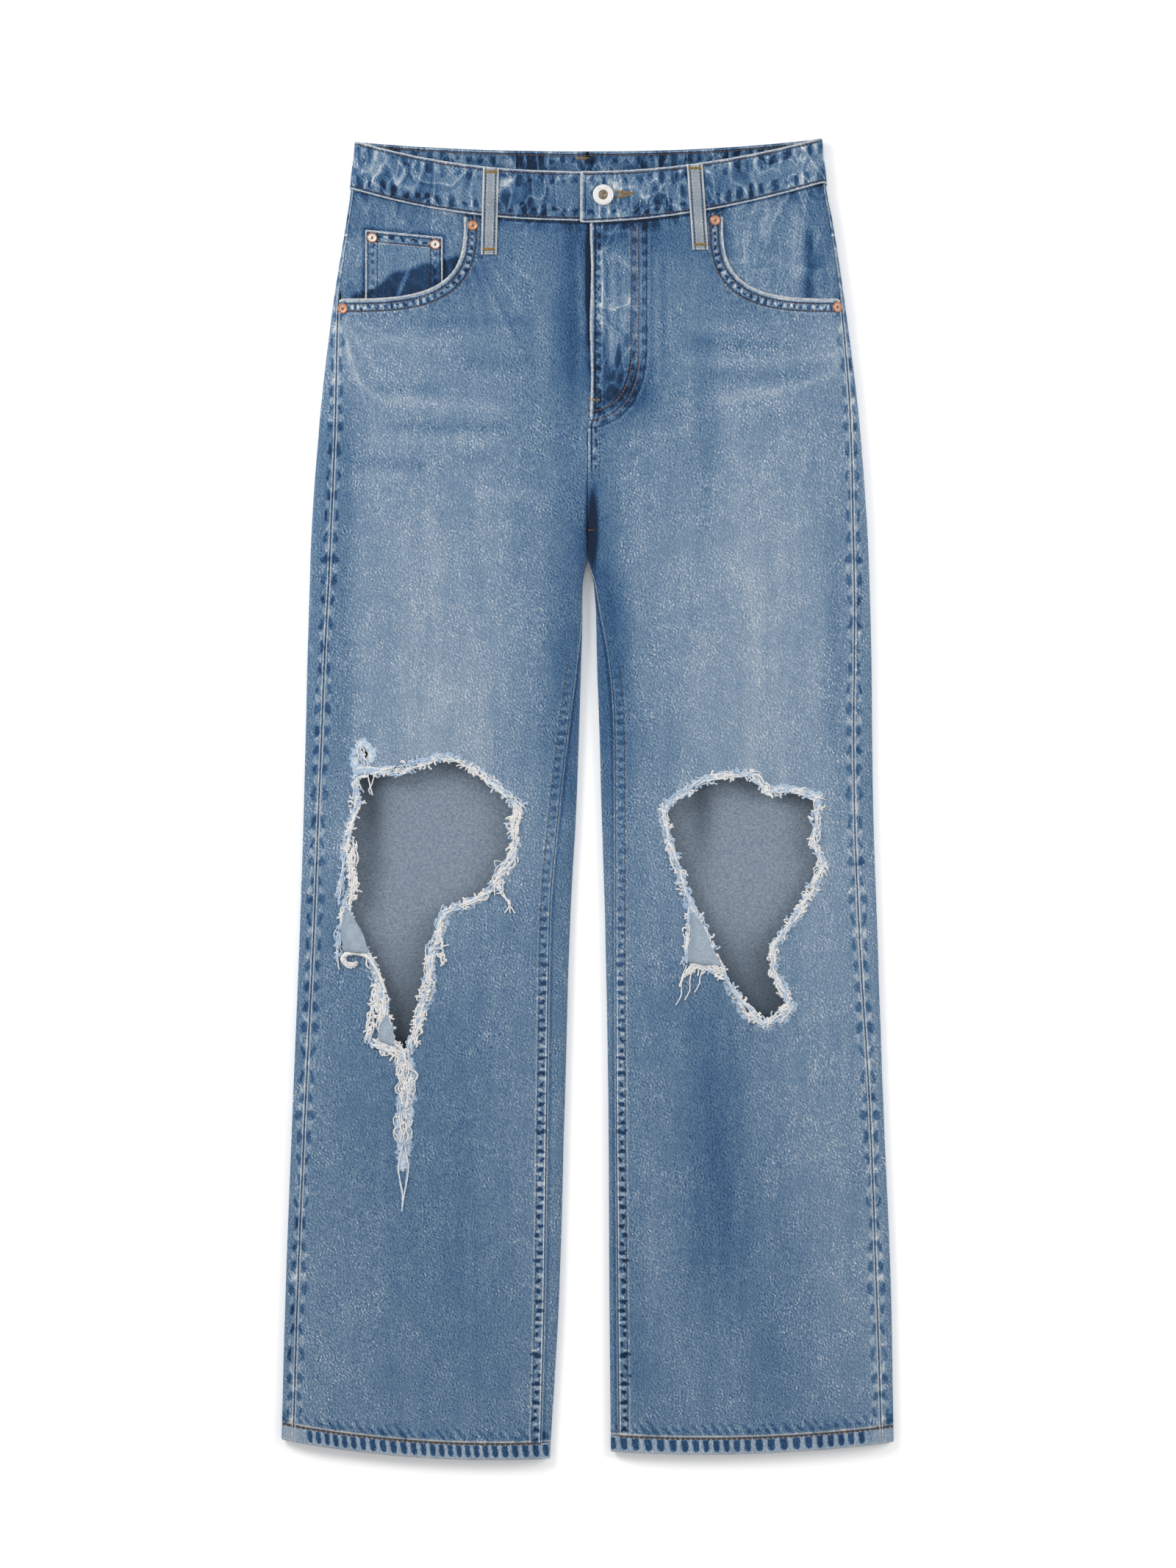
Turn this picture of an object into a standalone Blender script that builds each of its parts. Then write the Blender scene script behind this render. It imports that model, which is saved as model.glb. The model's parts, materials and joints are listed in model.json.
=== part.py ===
"""Ripped straight-leg jeans, laid flat on their back with the front up.

X runs across the garment (the wearer's right leg is at -X), +Y runs to the waist and Z is the
height above the surface that the jeans lie on.  Every size is in millimetres until a point is made.
"""
import math
from functools import lru_cache

import bmesh
import bpy
import numpy as np

MM = 0.001

# Cloth and gaps
CLOTH = 1.2                 # one layer of washed denim
LINING = 1.0                # the thinner layers inside the front pockets
BAND = 2.4                  # waistband: two layers and their turnings
LOOP = 1.8                  # belt loop, folded in three and pressed
HEM = 2.4                   # hem, turned twice
GAP = 0.3                   # between two pieces at a seam

# Heights along the garment
HEM_TURN = 13.0             # height of the turned-up hem
CROTCH_Y = 199.0            # where the four inner seams meet
CROTCH_EASE = 0.4           # extra room on each side of the inseam where it turns there
CROTCH_EASE_END_Y = 130.0
FLY_END_Y = 322.0           # the fly's overlap closes just below its bar tack
OUTER_RADIUS = 4.0          # pressed outer fold

RIGHT, LEFT = -1, 1         # the wearer's sides, as signs of X
SIDE_NAME = {RIGHT: "right", LEFT: "left"}

# Outline of each half as distances from the centre line: the outer edge, the side seam on the top
# face, the inseam on the top face (the centre seam above the crotch) and the inner edge.
CUT_COLUMNS = ("y", "out", "side", "seam", "inner")
CUT = {
    RIGHT: (
        (540.0, 188.6, 186.6, 0.15, 0.15),
        (497.0, 193.4, 190.8, 0.15, 0.15),
        (472.0, 197.1, 194.0, 0.15, 0.15),
        (400.0, 208.5, 203.7, 0.15, 0.15),
        (300.0, 219.8, 206.2, 0.15, 0.15),
        (199.0, 226.5, 210.5, 0.15, 0.15),
        (175.0, 227.1, 211.5, 4.0, 4.0),
        (150.0, 228.0, 213.0, 4.8, 4.2),
        (110.0, 229.2, 215.0, 9.2, 5.3),
        (60.0, 230.3, 216.9, 15.6, 6.8),
        (-5.0, 232.0, 219.6, 23.0, 9.1),
        (-100.0, 235.0, 223.2, 30.9, 14.2),
        (-260.0, 241.5, 231.0, 33.3, 18.9),
        (-400.0, 246.8, 236.8, 35.1, 23.0),
        (-540.0, 250.7, 241.0, 38.6, 31.0),
    ),
    LEFT: (
        (540.0, 190.3, 188.3, 0.15, 0.15),
        (497.0, 195.2, 192.7, 0.15, 0.15),
        (472.0, 200.1, 197.2, 0.15, 0.15),
        (400.0, 210.9, 207.4, 0.15, 0.15),
        (300.0, 222.8, 215.0, 0.15, 0.15),
        (199.0, 229.7, 217.3, 0.15, 0.15),
        (175.0, 230.6, 217.8, 6.6, 5.0),
        (150.0, 231.3, 218.0, 11.2, 6.8),
        (110.0, 232.1, 217.8, 18.2, 7.6),
        (60.0, 232.5, 217.3, 22.0, 9.4),
        (-5.0, 233.4, 217.9, 22.5, 11.2),
        (-100.0, 236.5, 221.4, 22.7, 14.2),
        (-260.0, 242.1, 230.8, 23.2, 17.0),
        (-400.0, 247.9, 236.0, 24.3, 17.7),
        (-540.0, 250.5, 240.6, 25.6, 19.0),
    ),
}

# How the garment lies: height of the top face, of the bottom layer and of the inner fold, how far
# the front and back edges open away from that fold (1 above the crotch, 0 on the closed legs), and
# the widths over which the outer edge, the inner edge and the inner edge's underside round off.
LAY_COLUMNS = ("y", "top", "base", "mid", "front_open", "back_open",
               "round_out", "round_in", "round_low")
LAY = (
    (540.0, 13.5, 3.3, 8.0, 1.0, 1.0, 12.0, 14.0, 14.0),
    (478.0, 14.0, 3.3, 8.0, 1.0, 1.0, 14.0, 14.0, 14.0),
    (444.0, 14.3, 2.1, 8.0, 1.0, 1.0, 16.0, 14.0, 14.0),
    (410.0, 14.6, 1.5, 8.0, 1.0, 1.0, 18.0, 14.0, 14.0),
    (285.0, 15.0, 1.5, 7.8, 1.0, 1.0, 24.0, 14.0, 14.0),
    (240.0, 15.0, 1.5, 7.4, 0.65, 0.9, 25.0, 14.0, 14.0),
    (215.0, 14.6, 1.1, 7.0, 0.2, 0.45, 26.0, 14.0, 14.0),
    (199.0, 14.2, 0.8, 6.8, 0.0, 0.0, 26.0, 14.0, 13.0),
    (150.0, 13.6, 0.0, 5.6, 0.0, 0.0, 28.0, 19.0, 9.0),
    (110.0, 13.2, 0.0, 5.0, 0.0, 0.0, 28.0, 25.0, 6.0),
    (0.0, 12.4, 0.0, 4.2, 0.0, 0.0, 30.0, 30.0, 5.0),
    (-260.0, 11.8, 0.0, 4.0, 0.0, 0.0, 30.0, 28.0, 5.0),
    (-540.0, 10.6, 0.0, 4.0, 0.0, 0.0, 28.0, 26.0, 5.0),
)

# Soft folds of the top face, each a straight trough from one end to the other.
FOLD_COLUMNS = ("side", "x0", "y0", "x1", "y1", "width", "depth")
FOLDS = (
    (LEFT, 121.0, -150.0, 114.0, -450.0, 26.0, 2.4),
    (LEFT, 52.0, -330.0, 46.0, -545.0, 20.0, 1.6),
    (LEFT, 176.0, -240.0, 190.0, -520.0, 18.0, 0.9),
    (LEFT, 48.0, 330.0, 88.0, 250.0, 22.0, 0.8),
    (RIGHT, 112.0, -300.0, 124.0, -520.0, 26.0, 1.0),
    (RIGHT, 160.0, 345.0, 60.0, 318.0, 16.0, 0.7),
    (RIGHT, 62.0, 190.0, 90.0, 70.0, 24.0, 0.8),
)

# Waistband edges: height at the centre, rise towards the side and the power of that rise.
BAND_FRONT_TOP = {RIGHT: (512.4, 24.7, 2.3), LEFT: (512.4, 27.0, 1.9)}
BAND_BACK_TOP = {RIGHT: (529.4, 7.7, 2.2), LEFT: (529.4, 10.0, 2.2)}
BAND_FRONT_HEIGHT = {RIGHT: (40.4, 40.2), LEFT: (42.0, 37.2)}    # at the centre, at the side
BAND_BACK_HEIGHT = 40.0
BAND_HALF = 189.0           # half the width over which the band rises
OVERLAP_END = -5.7          # end of the top layer, past the centre line
UNDERLAP_END = -30.0        # end of the layer under it, past the centre line from its own side
UNDERLAP_RUN = 18.0         # length over which that layer dips

# Yoke seam on the back: its height at the centre and at the side seam.
YOKE_CENTRE_Y = 424.0
YOKE_SIDE_Y = 459.0

# Hem line of each leg: lowest height, where across the leg it is lowest, and its curvature.
HEM_LINE = {RIGHT: (-539.9, 75.0, 0.00054), LEFT: (-535.4, 95.0, 0.00042)}

# Fly: edge of the top layer, reach of the layer under it, and where that layer dips.
FLY_EDGE = 3.0
FLY_REACH = -9.0
FLY_DIP_START, FLY_DIP_FULL = 16.0, 7.0

# Front pocket mouths: a superellipse hung from the waistband at the side seam.
MOUTH_WIDTH = {RIGHT: 101.5, LEFT: 95.5}
MOUTH_DEPTH = 67.5
MOUTH_TOP_Y = 475.0
MOUTH_POWER = 3.2
MOUTH_SIDE_X = {RIGHT: 201.5, LEFT: 205.0}
FACING_REACH = 12.0         # how far the facing runs on under the front
FACING_DEPTH = {RIGHT: CLOTH + GAP + LINING + GAP, LEFT: CLOTH + GAP}

# Coin pocket on the right facing: its two sides, and its mouth and foot at each of them.
COIN_OUT, COIN_IN = 181.2, 118.6
COIN_MOUTH_OUT, COIN_MOUTH_IN = 464.4, 458.6
COIN_FOOT = 396.0

# Back pockets: plain patches with a shallow point.
POCKET_X = 104.0
POCKET_TOP_Y = 402.0
POCKET_WIDTH, POCKET_FOOT_WIDTH = 148.0, 126.0
POCKET_HEIGHT, POCKET_POINT = 142.0, 16.0

# Belt loops: side, centre at the top and at the foot, and whether it is on the front.
LOOP_WIDTH = 13.0
LOOP_COLUMNS = ("name", "side", "x_top", "x_foot", "length", "front")
LOOPS = (
    ("belt_loop_front_right", RIGHT, 78.9, 80.7, 71.0, True),
    ("belt_loop_front_left", LEFT, 87.3, 92.1, 70.0, True),
    ("belt_loop_side_right", RIGHT, 172.0, 174.5, 68.0, False),
    ("belt_loop_side_left", LEFT, 174.0, 176.5, 68.0, False),
    ("belt_loop_back", LEFT, 7.2, 7.2, 68.0, False),
)

# Hardware
BUTTON_X, BUTTON_Y = 12.7, 493.0
BUTTON_RADIUS, BUTTON_HEIGHT, BUTTON_HUB = 8.5, 3.0, 3.6
RIVET_RADIUS, RIVET_HEIGHT = 4.35, 1.3
RIVET_COLUMNS = ("side", "x", "y", "depth")
RIVETS = (
    (RIGHT, 93.9, 468.2, 0.0),
    (RIGHT, 199.6, 400.4, 0.0),
    (RIGHT, 176.0, 458.2, CLOTH + GAP),
    (RIGHT, 124.5, 452.8, CLOTH + GAP),
    (LEFT, 104.1, 472.4, 0.0),
    (LEFT, 203.6, 401.6, 0.0),
)

# Knee rips: corners of the torn edge, clockwise from its upper outer or inner corner.
RIP = {
    RIGHT: ((188, 18), (170, 22), (155, 20), (138, 27), (122, 33), (108, 31), (92, 23), (72, 8),
            (56, -9), (63, -20), (59, -36), (63, -52), (77, -68), (92, -83), (117, -92),
            (121, -108), (129, -126), (129, -156), (138, -178), (148, -207), (158, -199),
            (166, -160), (175, -132), (190, -110), (197, -86), (189, -66), (198, -42),
            (193, -20), (186, -5)),
    LEFT: ((61, -8), (75, 2), (91, 14), (112, 18), (134, 20), (147, 6), (166, 7), (187, 2),
           (186, -22), (183, -36), (192, -53), (184, -72), (173, -90), (162, -105), (151, -120),
           (150, -141), (160, -155), (166, -170), (158, -179), (144, -183), (130, -175),
           (118, -155), (104, -125), (92, -99), (82, -80), (78, -62), (68, -38)),
}

# Grid of the panels: columns in each stretch of a section, and the rows' heights.
FRONT_COLUMNS = (1, 4, 7, 3, 1)
BACK_COLUMNS = (1, 3, 3, 6, 7, 1)
HEM_COLUMNS = (4, 7, 4, 3, 6, 3)
SEAM_STRIP = 0.6            # width of the column beside each seam
LEG_ROWS = 9
CROTCH_ROWS = (110.0, 142.0, 170.0, CROTCH_Y, 214.0, 232.0, 252.0, 284.0)
TRUNK_ROWS = (302.0, 317.0, 330.0, 372.0, 420.0)
EDGE_RUN = 110.0            # rows bend to a panel's end over this length

# Colours: name, linear base colour, roughness and metallic value.
MATERIALS = {
    "denim": ((0.13, 0.21, 0.32), 0.92, 0.0),
    "denim_dark": ((0.09, 0.16, 0.26), 0.92, 0.0),
    "denim_facing": ((0.16, 0.24, 0.34), 0.92, 0.0),
    "denim_pale": ((0.24, 0.31, 0.38), 0.92, 0.0),
    "white_metal": ((0.70, 0.69, 0.67), 0.35, 0.9),
    "copper": ((0.42, 0.24, 0.16), 0.40, 0.9),
}


def smooth(y, table, columns, name):
    """Value of a table's column at height y, on a curve that never overshoots its rows."""
    index = columns.index(name)
    ys = np.array([row[0] for row in table])[::-1]
    values = np.array([row[index] for row in table])[::-1]
    y = min(max(y, ys[0]), ys[-1])
    steps = np.diff(ys)
    slopes = np.diff(values) / steps
    tangents = np.zeros(len(ys))
    for i in range(1, len(ys) - 1):
        if slopes[i - 1] * slopes[i] > 0:
            tangents[i] = 2 * slopes[i - 1] * slopes[i] / (slopes[i - 1] + slopes[i])
    tangents[0], tangents[-1] = slopes[0], slopes[-1]
    i = min(max(int(np.searchsorted(ys, y)) - 1, 0), len(steps) - 1)
    t = (y - ys[i]) / steps[i]
    start = (1 + 2 * t) * (1 - t) ** 2 * values[i] + t * (1 - t) ** 2 * steps[i] * tangents[i]
    end = t * t * (3 - 2 * t) * values[i + 1] + t * t * (t - 1) * steps[i] * tangents[i + 1]
    return start + end


def ramp(value, start, end):
    """Soft step from 0 at start to 1 at end."""
    t = min(max((value - start) / (end - start), 0.0), 1.0)
    return t * t * (3 - 2 * t)


def fold_relief(side, x, y):
    """Depth of the soft folds under the flat top face at one point."""
    depth = 0.0
    for row in FOLDS:
        fold = dict(zip(FOLD_COLUMNS, row))
        if fold["side"] != side:
            continue
        run = (fold["x1"] - fold["x0"], fold["y1"] - fold["y0"])
        length = math.hypot(*run)
        across = (x - fold["x0"], y - fold["y0"])
        along = (across[0] * run[0] + across[1] * run[1]) / length ** 2
        offset = abs(across[0] * run[1] - across[1] * run[0]) / length
        if 0.0 < along < 1.0:
            fade = math.sin(math.pi * along) ** 0.7
            depth += fold["depth"] * fade * math.exp(-(offset / fold["width"]) ** 2 * 2.0)
    return depth


@lru_cache(maxsize=None)
def section(side, y):
    """Outer surface of one half at height y, with x counted outwards from the centre line.

    The points run from the front's inner edge over the top, round the outer fold and along the
    bench to the back's inner edge, which on the legs is the same point.
    """
    at = {name: smooth(y, CUT[side], CUT_COLUMNS, name) for name in CUT_COLUMNS[1:]}
    at.update({name: smooth(y, LAY, LAY_COLUMNS, name) for name in LAY_COLUMNS[1:]})
    front_end = at["mid"] + at["front_open"] * (at["top"] - at["mid"])
    back_end = at["mid"] + at["back_open"] * (at["base"] - at["mid"])
    outer_mid = at["base"] + OUTER_RADIUS
    turn = np.linspace(0.0, math.pi / 2, 17)

    inner_x = at["inner"] + at["round_in"] * (1 - np.cos(turn))
    inner_z = front_end + (at["top"] - front_end) * np.sin(turn)
    flat_x = np.linspace(inner_x[-1], at["out"] - at["round_out"], 30)[1:-1]
    outer_x = at["out"] - at["round_out"] * (1 - np.sin(turn))
    outer_z = outer_mid + (at["top"] - outer_mid) * np.cos(turn)
    top_x = np.concatenate([inner_x, flat_x, outer_x])
    top_z = np.concatenate([inner_z, np.full(len(flat_x), at["top"]), outer_z])
    for i, x in enumerate(top_x):
        share = (top_z[i] - outer_mid) / (at["top"] - outer_mid)
        top_z[i] -= fold_relief(side, x, y) * max(share, 0.0) ** 2

    under_x = at["out"] - OUTER_RADIUS * (1 - np.cos(turn))
    under_z = outer_mid - OUTER_RADIUS * np.sin(turn)
    tip_x = at["inner"] + at["round_low"] * (1 - np.sin(turn))
    tip_z = at["base"] + (back_end - at["base"]) * (1 - np.cos(turn))
    xs = np.concatenate([top_x, under_x[1:], tip_x])
    zs = np.concatenate([top_z, under_z[1:], tip_z])
    run = np.concatenate([[0.0], np.cumsum(np.hypot(np.diff(xs), np.diff(zs)))])

    top_run = run[:len(top_x)]
    marks = {
        "crown_in": run[len(inner_x) - 1],
        "crown_out": run[len(inner_x) + len(flat_x)],
        "side": float(np.interp(at["side"], top_x, top_run)),
        "seam": float(np.interp(at["seam"], top_x, top_run)) if y < CROTCH_Y else 0.0,
        "edge": run[len(top_x) - 1],
        "bench_out": run[len(top_x) + len(under_x) - 2],
        "bench_in": run[len(xs) - len(tip_x)],
        "end": run[-1],
    }
    return xs, zs, run, marks


def on_section(side, y, s, lift=0.0):
    """Point of the outer surface at distance s along the section, moved out by lift."""
    xs, zs, run, marks = section(side, y)
    total = marks["end"]
    if s > total:
        s -= total
    here = min(max(s, 0.0), total)
    low, high = max(here - 0.4, 0.0), min(here + 0.4, total)
    tangent = (np.interp(high, run, xs) - np.interp(low, run, xs),
               np.interp(high, run, zs) - np.interp(low, run, zs))
    size = math.hypot(*tangent)
    x = np.interp(here, run, xs) + min(s, 0.0) - lift * tangent[1] / size
    z = np.interp(here, run, zs) + lift * tangent[0] / size
    return float(x), float(z)


def run_at(side, y, x):
    """Distance along the section of the top-face point at x."""
    xs, _, run, marks = section(side, y)
    top = run <= marks["edge"] + 1e-9
    return float(np.interp(x, xs[top], run[top])) if x > xs[0] else x - xs[0]


def spread(stops, counts):
    """Distances that divide each stretch between stops into its count of columns."""
    result = [stops[0]]
    for start, end, count in zip(stops, stops[1:], counts):
        result += [start + (end - start) * (i + 1) / count for i in range(count)]
    return result


def rising(x, rule):
    """Height of a waistband edge at distance x from the centre line."""
    centre, rise, power = rule
    return centre + rise * (abs(x) / BAND_HALF) ** power


def band_edges(side, x, z, y):
    """Lower and upper edge of the waistband where the section passes through x and z."""
    base = smooth(y, LAY, LAY_COLUMNS, "base")
    top = smooth(y, LAY, LAY_COLUMNS, "top")
    front = ramp(z, base, top)
    upper = (1 - front) * rising(x, BAND_BACK_TOP[side]) + front * rising(x, BAND_FRONT_TOP[side])
    centre, edge = BAND_FRONT_HEIGHT[side]
    height = centre + (edge - centre) * abs(x) / BAND_HALF
    return upper - (1 - front) * BAND_BACK_HEIGHT - front * height, upper


def hem_edge(side, x):
    """Height of the hem line at distance x from the centre line."""
    lowest, where, curve = HEM_LINE[side]
    return lowest + curve * (x - where) ** 2


def yoke_edge(side, x):
    """Height of the yoke seam at distance x from the centre line."""
    half = smooth(YOKE_SIDE_Y, CUT[side], CUT_COLUMNS, "side")
    return YOKE_CENTRE_Y + (YOKE_SIDE_Y - YOKE_CENTRE_Y) * min(abs(x) / half, 1.0)


def material(name):
    """The named material, made once."""
    if name in bpy.data.materials:
        return bpy.data.materials[name]
    colour, roughness, metallic = MATERIALS[name]
    made = bpy.data.materials.new(name)
    made.use_nodes = True
    shader = made.node_tree.nodes["Principled BSDF"]
    shader.inputs["Base Color"].default_value = (*colour, 1.0)
    shader.inputs["Roughness"].default_value = roughness
    shader.inputs["Metallic"].default_value = metallic
    return made


def add_object(name, bm, look):
    """Turn a bmesh into a named object with its material."""
    mesh = bpy.data.meshes.new(name)
    bm.to_mesh(mesh)
    bm.free()
    made = bpy.data.objects.new(name, mesh)
    made.data.materials.append(material(look))
    bpy.context.collection.objects.link(made)
    return made


def add_sheet(name, place, columns, rows, thickness, look, flip=False, ring=False):
    """Cloth wall: a grid set on its outer surface by place(column, row), thickened inwards."""
    bm = bmesh.new()
    bmesh.ops.create_grid(bm, x_segments=columns, y_segments=rows, size=0.5)
    for vert in bm.verts:
        column = round((vert.co.x + 0.5) * columns)
        row = round((vert.co.y + 0.5) * rows)
        vert.co = [value * MM for value in place(column, row)]
    if ring:
        bmesh.ops.remove_doubles(bm, verts=bm.verts, dist=1e-6)
    if flip:
        bmesh.ops.reverse_faces(bm, faces=bm.faces)
    made = add_object(name, bm, look)
    wall = made.modifiers.new("wall", "SOLIDIFY")
    wall.thickness = thickness * MM
    wall.offset = -1.0
    wall.use_even_offset = True
    wall.use_quality_normals = True
    return made


def cut_through(made, name, outline):
    """Cut a sheet right through along an outline seen from above."""
    bm = bmesh.new()
    verts = [bm.verts.new((x * MM, y * MM, -20 * MM)) for x, y in outline]
    face = bm.faces.new(verts)
    raised = bmesh.ops.extrude_face_region(bm, geom=[face])["geom"]
    top = [item for item in raised if isinstance(item, bmesh.types.BMVert)]
    bmesh.ops.translate(bm, verts=top, vec=(0, 0, 60 * MM))
    bmesh.ops.recalc_face_normals(bm, faces=bm.faces)
    cutter = add_object(name, bm, "denim")
    cutter.hide_render = True
    cutter.display_type = "WIRE"
    cut = made.modifiers.new(name, "BOOLEAN")
    cut.operation = "DIFFERENCE"
    cut.object = cutter


def panel_rows():
    """Heights of the rows that the front and the back panels share."""
    low = min(lowest for lowest, _, _ in HEM_LINE.values()) + HEM_TURN
    legs = [low + (CROTCH_ROWS[0] - low) * i / LEG_ROWS for i in range(LEG_ROWS)]
    return legs + list(CROTCH_ROWS) + list(TRUNK_ROWS)


def panel_height(rows, row, low_edge, high_edge):
    """Height of one row, bent to the panel's lower and upper edges near them."""
    if row == len(rows):
        return high_edge
    y = rows[row]
    near_low = 1 - ramp(y, rows[0], rows[0] + EDGE_RUN)
    near_high = ramp(y, rows[-1] - EDGE_RUN, high_edge)
    return y + near_low * (low_edge - rows[0]) + near_high * (high_edge - rows[-1]) * 0.4


def inseam_room(y):
    """Half the gap of the inseam, and of nothing above the crotch."""
    return GAP / 2 + CROTCH_EASE * ramp(y, CROTCH_EASE_END_Y, CROTCH_Y) if y <= CROTCH_Y else 0.0


def front_start(side, y):
    """Where the front's inner edge starts along the section: past the centre line in the fly."""
    if y <= CROTCH_Y:
        return section(side, y)[3]["seam"] + inseam_room(y)
    if side == LEFT:
        return FLY_EDGE * ramp(y, FLY_END_Y - 18, FLY_END_Y - 6)
    return FLY_REACH * ramp(y, FLY_END_Y - 4, FLY_END_Y + 8)


def fly_dip(side, s, y):
    """How far the layer under the fly's overlap lies below the top face."""
    if side == LEFT:
        return 0.0
    across = ramp(s, FLY_DIP_START, FLY_DIP_FULL)
    return (CLOTH + GAP) * across * ramp(y, FLY_END_Y - 22, FLY_END_Y - 8)


def add_front(side):
    """Front panel: the top face from the inseam or the fly to the side seam."""
    rows = panel_rows()

    def place(column, row):
        y = rows[min(row, len(rows) - 1)]
        for _ in range(3):
            marks = section(side, y)[3]
            start, end = front_start(side, y), marks["side"] - GAP / 2
            stops = (start, start + SEAM_STRIP, marks["crown_in"], marks["crown_out"],
                     end - SEAM_STRIP, end)
            s = spread(stops, FRONT_COLUMNS)[column]
            x, z = on_section(side, y, s)
            high = band_edges(side, x, z, y)[0] - GAP
            y = panel_height(rows, row, hem_edge(side, x) + HEM_TURN + GAP, high)
        return side * x, y, z - fly_dip(side, s, y)

    name = "front_" + SIDE_NAME[side]
    made = add_sheet(name, place, sum(FRONT_COLUMNS), len(rows), CLOTH, "denim", side == RIGHT)
    cut_through(made, "rip_" + SIDE_NAME[side], [(side * x, y) for x, y in RIP[side]])
    cut_through(made, "mouth_" + SIDE_NAME[side], mouth_outline(side))


def mouth_outline(side):
    """Everything of the front panel above and outside the pocket mouth."""
    points = []
    for i in range(15):
        turn = math.pi / 2 * i / 14
        x = MOUTH_SIDE_X[side] - MOUTH_WIDTH[side] * math.cos(turn) ** (2 / MOUTH_POWER)
        y = MOUTH_TOP_Y - MOUTH_DEPTH * math.sin(turn) ** (2 / MOUTH_POWER)
        points.append((side * x, y))
    lowest = MOUTH_TOP_Y - MOUTH_DEPTH
    return [(points[0][0], 530.0)] + points + [(side * 240.0, lowest), (side * 240.0, 530.0)]


def back_stops(side, y):
    """Ends of the stretches of the back: side seam, outer fold, bench and inner edge."""
    marks = section(side, y)[3]
    start = marks["side"] + GAP / 2
    end = marks["end"] + marks["seam"] - inseam_room(y)
    return (start, start + SEAM_STRIP, marks["edge"], marks["bench_out"], marks["bench_in"],
            end - SEAM_STRIP, end)


def add_back(side):
    """Back panel: from the side seam round the outer fold and along the bench."""
    rows = panel_rows()
    rows = [y for y in rows if y < YOKE_CENTRE_Y - 20]

    def place(column, row):
        y = rows[min(row, len(rows) - 1)]
        for _ in range(3):
            s = spread(back_stops(side, y), BACK_COLUMNS)[column]
            x, z = on_section(side, y, s)
            high = yoke_edge(side, x) - GAP / 2
            y = panel_height(rows, row, hem_edge(side, x) + HEM_TURN + GAP, high)
        return side * x, y, z

    name = "back_" + SIDE_NAME[side]
    add_sheet(name, place, sum(BACK_COLUMNS), len(rows), CLOTH, "denim_dark", side == RIGHT)


def add_yoke(side):
    """Back yoke between the back panel and the waistband."""
    def place(column, row):
        y = 450.0
        for _ in range(4):
            s = spread(back_stops(side, y), BACK_COLUMNS)[column]
            x, z = on_section(side, y, s)
            low = yoke_edge(side, x) + GAP / 2
            high = band_edges(side, x, z, y)[0] - GAP
            y = low + (high - low) * row / 3
        return side * x, y, z

    name = "yoke_" + SIDE_NAME[side]
    add_sheet(name, place, sum(BACK_COLUMNS), 3, CLOTH, "denim", side == RIGHT)


def add_waistband():
    """One band from the top layer's end at the fly, round the back, to the layer under it."""
    counts = (8, 4, 3, 4)
    per_half = sum(counts)

    def place(column, row):
        side = LEFT if column <= per_half else RIGHT
        index = column if side == LEFT else 2 * per_half - column
        start = OVERLAP_END if side == LEFT else UNDERLAP_END
        y = 505.0
        for _ in range(4):
            marks = section(side, y)[3]
            stops = (start, marks["crown_out"], marks["edge"], marks["bench_out"], marks["end"])
            s = spread(stops, counts)[index]
            x, z = on_section(side, y, s, BAND / 2)
            if index == per_half:
                x = 0.0
            low, high = band_edges(side, x, z, y)
            y = low + (high - low) * row / 2
        dip = (BAND + GAP) * ramp(-s, OVERLAP_END - UNDERLAP_RUN, OVERLAP_END) if side == RIGHT else 0
        return side * x, y, z - dip

    add_sheet("waistband", place, 2 * per_half, 2, BAND, "denim_dark")


def add_facing(side):
    """Hip facing: shows in the pocket mouth and runs on under the front panel."""
    depth = FACING_DEPTH[side]
    inner_x = MOUTH_SIDE_X[side] - MOUTH_WIDTH[side] - FACING_REACH

    def place(column, row):
        y = 440.0
        for _ in range(3):
            marks = section(side, y)[3]
            outer = marks["side"] - GAP / 2
            start = run_at(side, y, inner_x)
            s = start + (outer - start) * (column / 9) ** 0.8
            x, z = on_section(side, y, s, -depth)
            across = min(max((MOUTH_SIDE_X[side] - x) / (MOUTH_WIDTH[side] + FACING_REACH), 0.0), 1.0)
            fall = (1 - across ** MOUTH_POWER) ** (1 / MOUTH_POWER)
            low = MOUTH_TOP_Y - 18.0 - (MOUTH_DEPTH + FACING_REACH - 18.0) * fall
            high = band_edges(side, x, z, y)[0] - GAP
            y = low + (high - low) * row / 3
        return side * x, y, z

    name = "pocket_facing_" + SIDE_NAME[side]
    add_sheet(name, place, 9, 3, LINING, "denim_facing", side == RIGHT)


def add_coin_pocket():
    """Small pocket on the right facing, its foot under the front panel."""
    def place(column, row):
        across = column / 6
        x = COIN_IN + (COIN_OUT - COIN_IN) * across
        mouth = COIN_MOUTH_IN + (COIN_MOUTH_OUT - COIN_MOUTH_IN) * across
        y = COIN_FOOT + (mouth - COIN_FOOT) * row / 4
        x, z = on_section(RIGHT, y, run_at(RIGHT, y, x), -(CLOTH + GAP))
        return RIGHT * x, y, z

    add_sheet("coin_pocket", place, 6, 4, LINING, "denim_pale", True)


def add_back_pocket(side):
    """Plain patch pocket under the seat, its face on the bench."""
    def place(column, row):
        across = column / 6 - 0.5
        up = row / 4
        width = POCKET_FOOT_WIDTH + (POCKET_WIDTH - POCKET_FOOT_WIDTH) * up
        x = POCKET_X - width * across
        foot = POCKET_TOP_Y - POCKET_HEIGHT - POCKET_POINT * (1 - 2 * abs(across))
        y = foot + (POCKET_TOP_Y - foot) * up
        return side * x, y, smooth(y, LAY, LAY_COLUMNS, "base") - CLOTH - GAP

    name = "back_pocket_" + SIDE_NAME[side]
    add_sheet(name, place, 6, 4, CLOTH, "denim_dark", side == RIGHT)


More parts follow.
